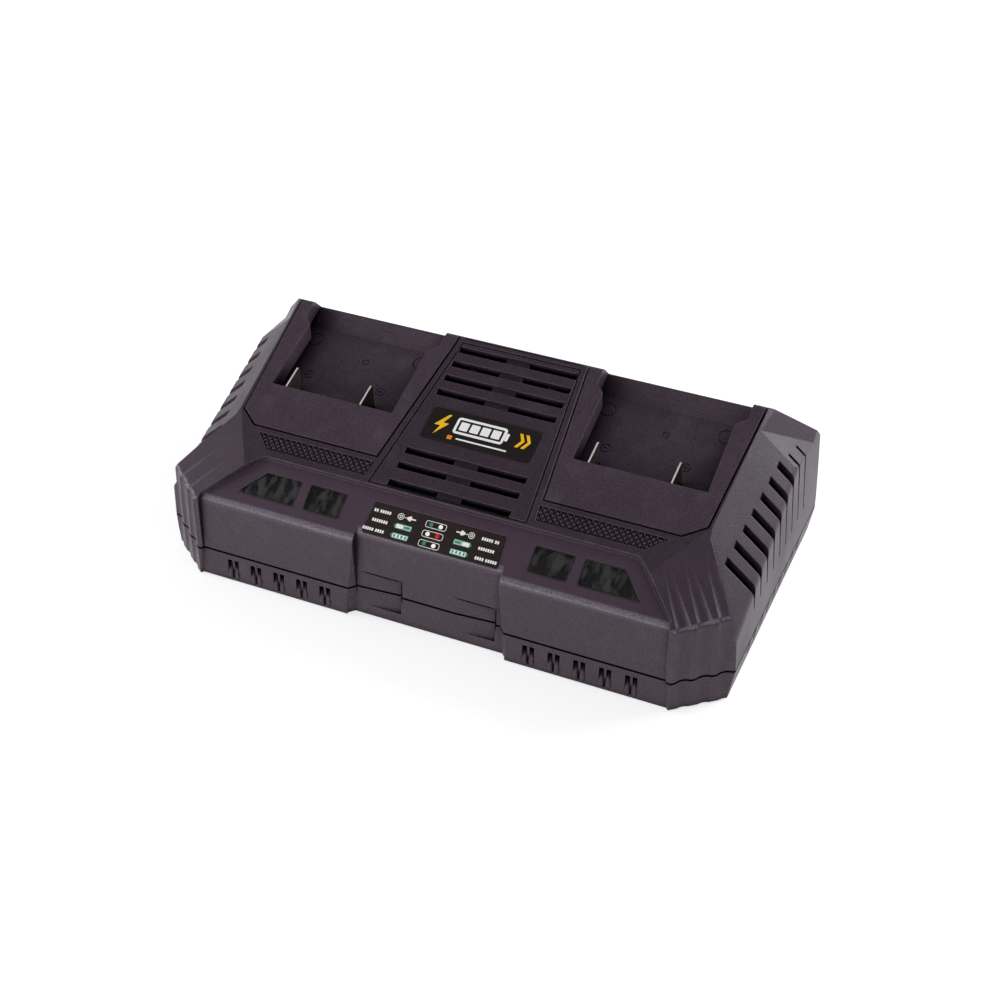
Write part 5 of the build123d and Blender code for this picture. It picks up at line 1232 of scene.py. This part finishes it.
@dataclass
class NamePlatePrint:
    """Generic battery sign on the plate of the middle panel."""

    centre_y: float = -3.7
    lift: float = 0.3
    bolt: tuple[Point, ...] = (
        (1.6, 6.0), (-3.4, -0.9), (-0.4, -0.9), (-1.9, -6.2), (3.4, 1.0), (0.4, 1.0), (3.0, 6.0),
    )
    bolt_x: float = -20.0
    cell_size: Point = (25.0, 9.4)
    cell_centre: Point = (-1.0, 1.4)
    cell_corner: float = 1.6
    cell_line: float = 1.25
    nub_size: Point = (1.5, 4.4)
    nub_offset: float = 0.9
    nub_corner: float = 0.5
    bars: int = 4
    bar_gap: float = 1.1
    bar_corner: float = 0.3
    rule: Triple = (-13.4, 15.0, -6.1)
    rule_height: float = 0.8
    rule_corner: float = 0.2
    rule_start: float = 3.2
    square_size: Point = (2.4, 2.2)
    square_corner: float = 0.3
    chevrons: int = 2
    chevron_x: float = 17.4
    chevron_pitch: float = 3.1
    chevron_scale: Point = (0.85, 0.95)
    chevron: tuple[Point, ...] = ((0.0, 4.2), (1.9, 4.2), (4.4, 0.0), (1.9, -4.2), (0.0, -4.2), (2.5, 0.0))

    def battery(self, work: PrintWork, centre: Point) -> None:
        """Adds the battery, its nub and its bars.

        Args:
            work: The plate's marks.
            centre: Centre of the battery.
        """
        cx, cy = centre
        work.add(Ink.WHITE, *ring(centre, self.cell_size, self.cell_corner, self.cell_line))
        nub_x = cx + self.cell_size[0] / 2 + self.nub_offset
        work.add(Ink.WHITE, rounded_box((nub_x, cy), self.nub_size, self.nub_corner))
        inner = self.cell_size[0] - 2 * (self.cell_line + self.bar_gap)
        width = (inner - (self.bars - 1) * self.bar_gap) / self.bars
        height = self.cell_size[1] - 2 * (self.cell_line + self.bar_gap)
        for index in range(self.bars):
            x = cx - inner / 2 + width / 2 + index * (width + self.bar_gap)
            work.add(Ink.WHITE, rounded_box((x, cy), (width, height), self.bar_corner))

    def build(self) -> None:
        """Prints the bolt, the battery, the chevrons and the rule with its square."""
        base = TOP.along(self.centre_y)
        centre = (self.cell_centre[0], self.cell_centre[1] + base)
        work = PrintWork("name_plate", TOP, self.lift)
        work.add(Ink.YELLOW, moved(self.bolt, (self.bolt_x, base)))
        self.battery(work, centre)
        for index in range(self.chevrons):
            x = self.chevron_x + index * self.chevron_pitch
            work.add(Ink.YELLOW, moved(self.chevron, (x, centre[1]), self.chevron_scale))
        left, right, y = self.rule
        middle = ((left + right) / 2 + self.rule_start / 2, base + y)
        size = (right - left - self.rule_start, self.rule_height)
        work.add(Ink.WHITE, rounded_box(middle, size, self.rule_corner))
        work.add(Ink.ORANGE, rounded_box((left, base + y), self.square_size, self.square_corner))
        work.build()


@dataclass
class StatusPrint:
    """Lamp frames, pictograms and ticks on the status label."""

    rows: Triple = (-52.0, -56.1, -60.2)
    lift: float = 0.15
    middle: float = -0.7
    pill: Point = (10.2, 3.3)
    pill_corner: float = 1.1
    pill_line: float = 0.26
    sign_x: float = 14.4
    socket_x: float = 3.0
    socket_rings: tuple[Point, ...] = ((1.55, 1.25), (0.75, 0.4))
    pin: Point = (0.75, 0.4)
    plug_half: tuple[Point, ...] = ((0.0, 0.35), (-1.3, 1.15), (-2.1, 1.15), (-2.3, 0.3), (-4.4, 0.3))
    cell_size: Point = (8.0, 2.6)
    cell_corner: float = 0.35
    cell_line: float = 0.3
    cell_clear: float = 0.35
    nub: Point = (0.6, 1.1)
    bars: int = 4
    bar_pitch: float = 1.8
    bar_width: float = 0.95
    bar_clear: float = 0.5
    half_gap: float = 0.15
    half_line: float = 0.22
    small_corner: float = 0.1
    solid_corner: float = 0.15
    wide_corner: float = 0.2
    dash_x: float = 22.9
    dashes: tuple[tuple[int, ...], ...] = ((5, 2), (7,), (4, 5))
    dash: Point = (0.82, 1.45)
    dash_pitch: float = 1.12
    group_gap: float = 0.6

    def plug(self, work: PrintWork, x: float, y: float, way: int) -> None:
        """A socket ring and a two-pin plug that points to it.

        Args:
            work: The label's marks.
            x: Place of the plug's face.
            y: Height of the row.
            way: Sign of X in which it points.
        """
        socket = (x + way * self.socket_x, y)
        for outer, inner in self.socket_rings:
            work.add(Ink.WHITE, disc(socket, outer), disc(socket, inner))
        work.add(Ink.WHITE, rounded_box((x + way * self.pin[0], y), self.pin, self.small_corner))
        outline = [*self.plug_half, *((a, -b) for a, b in reversed(self.plug_half))]
        work.add(Ink.WHITE, moved(outline, (x, y), (way, 1.0)))

    def cell(self, work: PrintWork, x: float, y: float, way: int, full: bool) -> None:
        """A battery sign, half charged or full.

        Args:
            work: The label's marks.
            x: Its centre.
            y: Height of the row.
            way: Sign of X in which its nub points.
            full: Whether it has all its bars, and not one solid half and one framed half.
        """
        work.add(Ink.TEAL, *ring((x, y), self.cell_size, self.cell_corner, self.cell_line))
        nub_x = x + way * (self.cell_size[0] / 2 + self.cell_clear)
        work.add(Ink.TEAL, rounded_box((nub_x, y), self.nub, self.solid_corner))
        width, height = (side - 2 * self.cell_clear for side in self.cell_size)
        if full:
            first = x - (self.bars - 1) / 2 * self.bar_pitch
            bar = (self.bar_width, height - self.bar_clear)
            centres = [(first + index * self.bar_pitch, y) for index in range(self.bars)]
            holes = [rounded_box(centre, bar, self.small_corner) for centre in centres]
            work.add(Ink.WHITE, rounded_box((x, y), (width, height), self.solid_corner), *holes)
            work.add(Ink.TEAL, *holes)
            return
        half = width / 2 - self.half_gap
        shift = way * (width / 2 - half / 2)
        work.add(Ink.WHITE, rounded_box((x + shift, y), (half, height), self.solid_corner))
        work.add(Ink.WHITE, *ring((x - shift, y), (half, height), self.wide_corner, self.half_line))
        inner = (half - self.bar_clear, height - self.bar_clear)
        work.add(Ink.TEAL, rounded_box((x - shift, y), inner, self.small_corner))

    def ticks(self, work: PrintWork, y: float, groups: tuple[int, ...], way: int) -> None:
        """Groups of upright ticks beside a row of pictograms.

        Args:
            work: The label's marks.
            y: Height of the row.
            groups: Number of ticks in each group, from the middle outwards.
            way: Sign of X of the label's half.
        """
        place = self.dash_x
        for count in groups:
            for _ in range(count):
                tick = rounded_box((self.middle + way * place, y), self.dash, self.wide_corner)
                work.add(Ink.WHITE, tick)
                place += self.dash_pitch
            place += self.dash_pitch * self.group_gap

    def build(self) -> None:
        """Prints both halves of the label."""
        work = PrintWork("status_label", FASCIA, self.lift)
        heights = [FASCIA.along(y) for y in self.rows]
        for y, groups in zip(heights, self.dashes):
            work.add(Ink.WHITE, *ring((self.middle, y), self.pill, self.pill_corner, self.pill_line))
            for way in (-1, 1):
                self.ticks(work, y, groups, way)
        for way in (-1, 1):
            x = self.middle + way * self.sign_x
            self.plug(work, x, heights[0], way)
            self.cell(work, x, heights[1], way, full=False)
            self.cell(work, x, heights[2], way, full=True)
        work.build()


@dataclass
class WindowBead:
    """Thin bead round each window, which gives the clear moulding its round corners."""

    inner: tuple[Point, ...] = ((46.4, -48.8), (46.4, -60.0), (65.0, -60.0), (65.4, -48.8))
    outer: tuple[Point, ...] = ((69.9, -48.8), (69.9, -60.0), (99.4, -60.0), (88.4, -48.8))
    gap: float = 0.03
    width: float = 0.34
    outer_corner: float = 0.15
    corner: float = 1.35
    low: float = -0.36
    high: float = 0.10

    def build(self, side: Side, material: Material) -> None:
        """Makes both beads of one side.

        Args:
            side: Half of the charger.
            material: The beads' material.
        """
        for place, corners in (("inner", self.inner), ("outer", self.outer)):
            points = [(side.value * x, FASCIA.along(y)) for x, y in corners]
            outline = rounded_polygon(points, self.gap, self.outer_corner)
            opening = rounded_polygon(points, self.gap + self.width, self.corner)
            bead = flat_solid([outline, opening], self.low, self.high)
            settle(bead, f"window_bead_{place}_{side.label}", material, FASCIA.matrix())


@dataclass
class WindowLamps:
    """Reflector tray under the two windows of one side, with a bowl, a trim ring and a dome for each lamp.

    The tray is given by two X and two plan distances Y, the bowl by its upper and lower radius, and the ring
    and the dome by their radius and thickness.
    """

    lamp_x: Point = (56.2, 80.6)
    lamp_y: float = -54.4
    tray: tuple[float, float, float, float] = (45.2, 99.8, -60.9, -47.6)
    tray_corner: float = 1.0
    under: float = -6.05
    face: float = -4.1
    facets: int = 40
    bowl: Point = (5.0, 1.7)
    bowl_drop: float = 0.3
    wall: float = 0.25
    rim: float = 0.08
    ring_size: Point = (3.7, 0.34)
    ring_drop: float = 0.45
    ring_flat: float = 0.6
    ring_facets: tuple[int, int] = (48, 8)
    dome_size: Point = (1.45, 1.6)
    dome_round: float = 0.7
    dome_facets: int = 32

    def build(self, side: Side) -> None:
        """Makes the tray and its lamps on one side.

        Args:
            side: Half of the charger.
        """
        sign = side.value
        y = FASCIA.along(self.lamp_y)
        x0, x1, y0, y1 = self.tray
        y0, y1 = FASCIA.along(y0), FASCIA.along(y1)
        middle = (sign * (x0 + x1) / 2, (y0 + y1) / 2)
        outline = rounded_box(middle, (x1 - x0, y1 - y0), self.tray_corner)
        holes = [disc((sign * x, y), self.bowl[0], self.facets) for x in self.lamp_x]
        tray = flat_solid([outline, *holes], self.under, self.face)
        mottled = MottledTray("reflector_tray", (0.006, 0.006, 0.006), 0.45).material()
        settle(tray, f"reflector_tray_{side.label}", mottled, FASCIA.matrix())
        satin = StampedMetal("reflector_satin", (0.14, 0.15, 0.15), 0.22, metallic=0.9).material()
        copper = Finish("trim_ring_copper", (0.34, 0.12, 0.06), 0.35).material()
        chip = Finish("lamp_chip", (0.11, 0.10, 0.10), 0.3).material()
        for place, x in zip(("inner", "outer"), self.lamp_x):
            label = f"{place}_{side.label}"
            self.reflector((sign * x, y), f"reflector_bowl_{label}", satin)
            self.trim_ring((sign * x, y), f"lamp_ring_{label}", copper)
            self.dome((sign * x, y), f"lamp_dome_{label}", chip)

    def reflector(self, centre: Point, name: str, material: Material) -> None:
        """A dished cone with a wall and a rolled rim.

        Args:
            centre: Its place on the fascia.
            name: The piece's name.
            material: Its material.
        """
        bowl = start(
            bpy.ops.mesh.primitive_cone_add,
            vertices=self.facets,
            radius1=self.bowl[1],
            radius2=self.bowl[0],
            depth=self.face - self.under - self.bowl_drop,
            end_fill_type="NOTHING",
            location=(*centre, (self.face + self.under) / 2),
        )
        modify(bowl, "SOLIDIFY", thickness=self.wall, offset=0.0)
        modify(bowl, "BEVEL", width=self.rim, segments=2)
        bpy.ops.object.shade_smooth_by_angle(angle=SMOOTH_ANGLE)
        settle(bowl, name, material, FASCIA.matrix())

    def trim_ring(self, centre: Point, name: str, material: Material) -> None:
        """A flattened ring in the bowl.

        Args:
            centre: Its place on the fascia.
            name: The piece's name.
            material: Its material.
        """
        band = start(
            bpy.ops.mesh.primitive_torus_add,
            major_radius=self.ring_size[0],
            minor_radius=self.ring_size[1],
            major_segments=self.ring_facets[0],
            minor_segments=self.ring_facets[1],
            location=(*centre, self.face - self.ring_drop),
        )
        with edit_mode():
            bpy.ops.transform.resize(value=(1.0, 1.0, self.ring_flat))
        bpy.ops.object.shade_smooth()
        settle(band, name, material, FASCIA.matrix())

    def dome(self, centre: Point, name: str, material: Material) -> None:
        """A small domed lamp in the middle of the bowl.

        Args:
            centre: Its place on the fascia.
            name: The piece's name.
            material: Its material.
        """
        radius, depth = self.dome_size
        dome = start(
            bpy.ops.mesh.primitive_cylinder_add,
            vertices=self.dome_facets,
            radius=radius,
            depth=depth,
            location=(*centre, self.under + depth / 2),
        )
        modify(dome, "BEVEL", width=self.dome_round, segments=5, limit_method="ANGLE")
        bpy.ops.object.shade_smooth_by_angle(angle=SMOOTH_ANGLE)
        settle(dome, name, material, FASCIA.matrix())


# ------------------------------------------------------------------ studio
@dataclass(frozen=True)
class SoftLamp:
    """A square soft lamp that faces the object, with its power in watts."""

    name: str
    place: Triple
    power: float
    size: float
    colour: Colour = (1.0, 1.0, 1.0)
    aim: Triple = (0.0, 0.0, 0.04)

    def build(self) -> None:
        """Hangs the lamp and turns it to its aim."""
        light = bpy.data.lights.new(self.name, "AREA")
        light.color = self.colour
        light.energy = self.power
        light.size = self.size
        lamp = new_object(self.name, light)
        lamp.location = self.place
        way = Vector(self.aim) - Vector(self.place)
        lamp.rotation_euler = way.to_track_quat("-Z", "Y").to_euler()


@dataclass
class Studio:
    """White floor and surroundings, three soft lamps and the camera."""

    floor_size: float = 3.0
    floor_grey: float = 0.9
    floor_roughness: float = 0.9
    floor_glow: float = 0.62
    sky_band: Point = (0.15, 0.75)
    sky_light: Point = (0.58, 0.18)
    lamps: tuple[SoftLamp, ...] = (
        SoftLamp("front", (-0.42, -1.12, 0.27), power=4.9, size=0.42),
        SoftLamp("right_rear", (0.80, 0.85, 0.60), power=11.0, size=0.7, colour=(0.95, 0.96, 1.0)),
        SoftLamp("left", (-1.1, -0.2, 0.40), power=3.6, size=0.6),
    )
    eye: Triple = (0.28339, -0.59121, 0.56713)
    yaw: float = 25.075
    pitch: float = 39.503
    roll: float = -1.801
    lens: float = 64.404
    sensor: float = 36.0

    def build(self) -> None:
        """Sets up everything that isn't the object."""
        bpy.context.scene.view_settings.view_transform = "Standard"
        self.floor()
        self.surroundings()
        for lamp in self.lamps:
            lamp.build()
        self.camera()

    def seen(self, graph: Graph, *kinds: str) -> Socket:
        """Tells how the surface is looked at.

        Args:
            graph: The nodes.
            *kinds: Outputs of the Light Path node.

        Returns:
            A mask that is 1 for these kinds of ray.
        """
        path = graph.add("ShaderNodeLightPath").outputs
        mask = path[kinds[0]]
        for kind in kinds[1:]:
            mask = graph.maths("MAXIMUM", mask, path[kind])
        return mask

    def floor(self) -> None:
        """A pale floor that keeps the object's shadow and glows only for the camera and in reflections."""
        floor = start(bpy.ops.mesh.primitive_plane_add, size=self.floor_size)
        floor.name = "floor"
        material = bpy.data.materials.new("floor")
        graph = Graph(material)
        looked_at = self.seen(graph, "Is Camera Ray", "Is Glossy Ray", "Is Transmission Ray")
        graph.shade(
            {
                "Base Color": rgba((self.floor_grey,) * 3),
                "Roughness": self.floor_roughness,
                "Specular IOR Level": 0.0,
                "Emission Color": WHITE,
                "Emission Strength": graph.product(looked_at, self.floor_glow),
            }
        )
        cover(floor, material)

    def surroundings(self) -> None:
        """White to the camera; as light on the object, bright near the horizon and dim overhead."""
        world = bpy.data.worlds.new("studio")
        bpy.context.scene.world = world
        graph = Graph(world, "Background")
        way = graph.add("ShaderNodeTexCoord").outputs["Generated"]
        light = graph.spread(graph.component(way, Axis.Z), to=self.sky_light, source=self.sky_band)
        looked_at = self.seen(graph, "Is Camera Ray", "Is Transmission Ray")
        graph.shade({"Color": WHITE, "Strength": graph.spread(looked_at, to=(light, 1.0), source=UNIT)})

    def camera(self) -> None:
        """The camera, turned by its yaw, pitch and roll."""
        yaw, pitch, roll = (math.radians(angle) for angle in (self.yaw, self.pitch, self.roll))
        back = Vector((math.sin(yaw) * math.cos(pitch), -math.cos(yaw) * math.cos(pitch), math.sin(pitch)))
        level = Vector((math.cos(yaw), math.sin(yaw), 0.0))
        upright = back.cross(level)
        right = level * math.cos(roll) + upright * math.sin(roll)
        up = upright * math.cos(roll) - level * math.sin(roll)
        pose = Matrix((right, up, back)).transposed().to_4x4()
        pose.translation = Vector(self.eye)
        data = bpy.data.cameras.new("camera")
        data.lens = self.lens
        data.sensor_width = self.sensor
        camera = new_object("camera", data)
        camera.matrix_world = pose
        bpy.context.scene.camera = camera


def main() -> None:
    """Builds the scene in order."""
    logging.basicConfig(level=logging.INFO, format="%(name)s: %(message)s")
    CadParts().build()
    grip, black, sill = (finish.material() for finish in (GRIP_FINISH, BLACK_FINISH, SILL_FINISH))
    for side in Side:
        GripStrip().build(side, grip)
        WindowBead().build(side, black)
        VentSills().build(side, sill)
        WindowLamps().build(side)
    NamePlatePrint().build()
    StatusPrint().build()
    Studio().build()


if __name__ == "__main__":
    main()
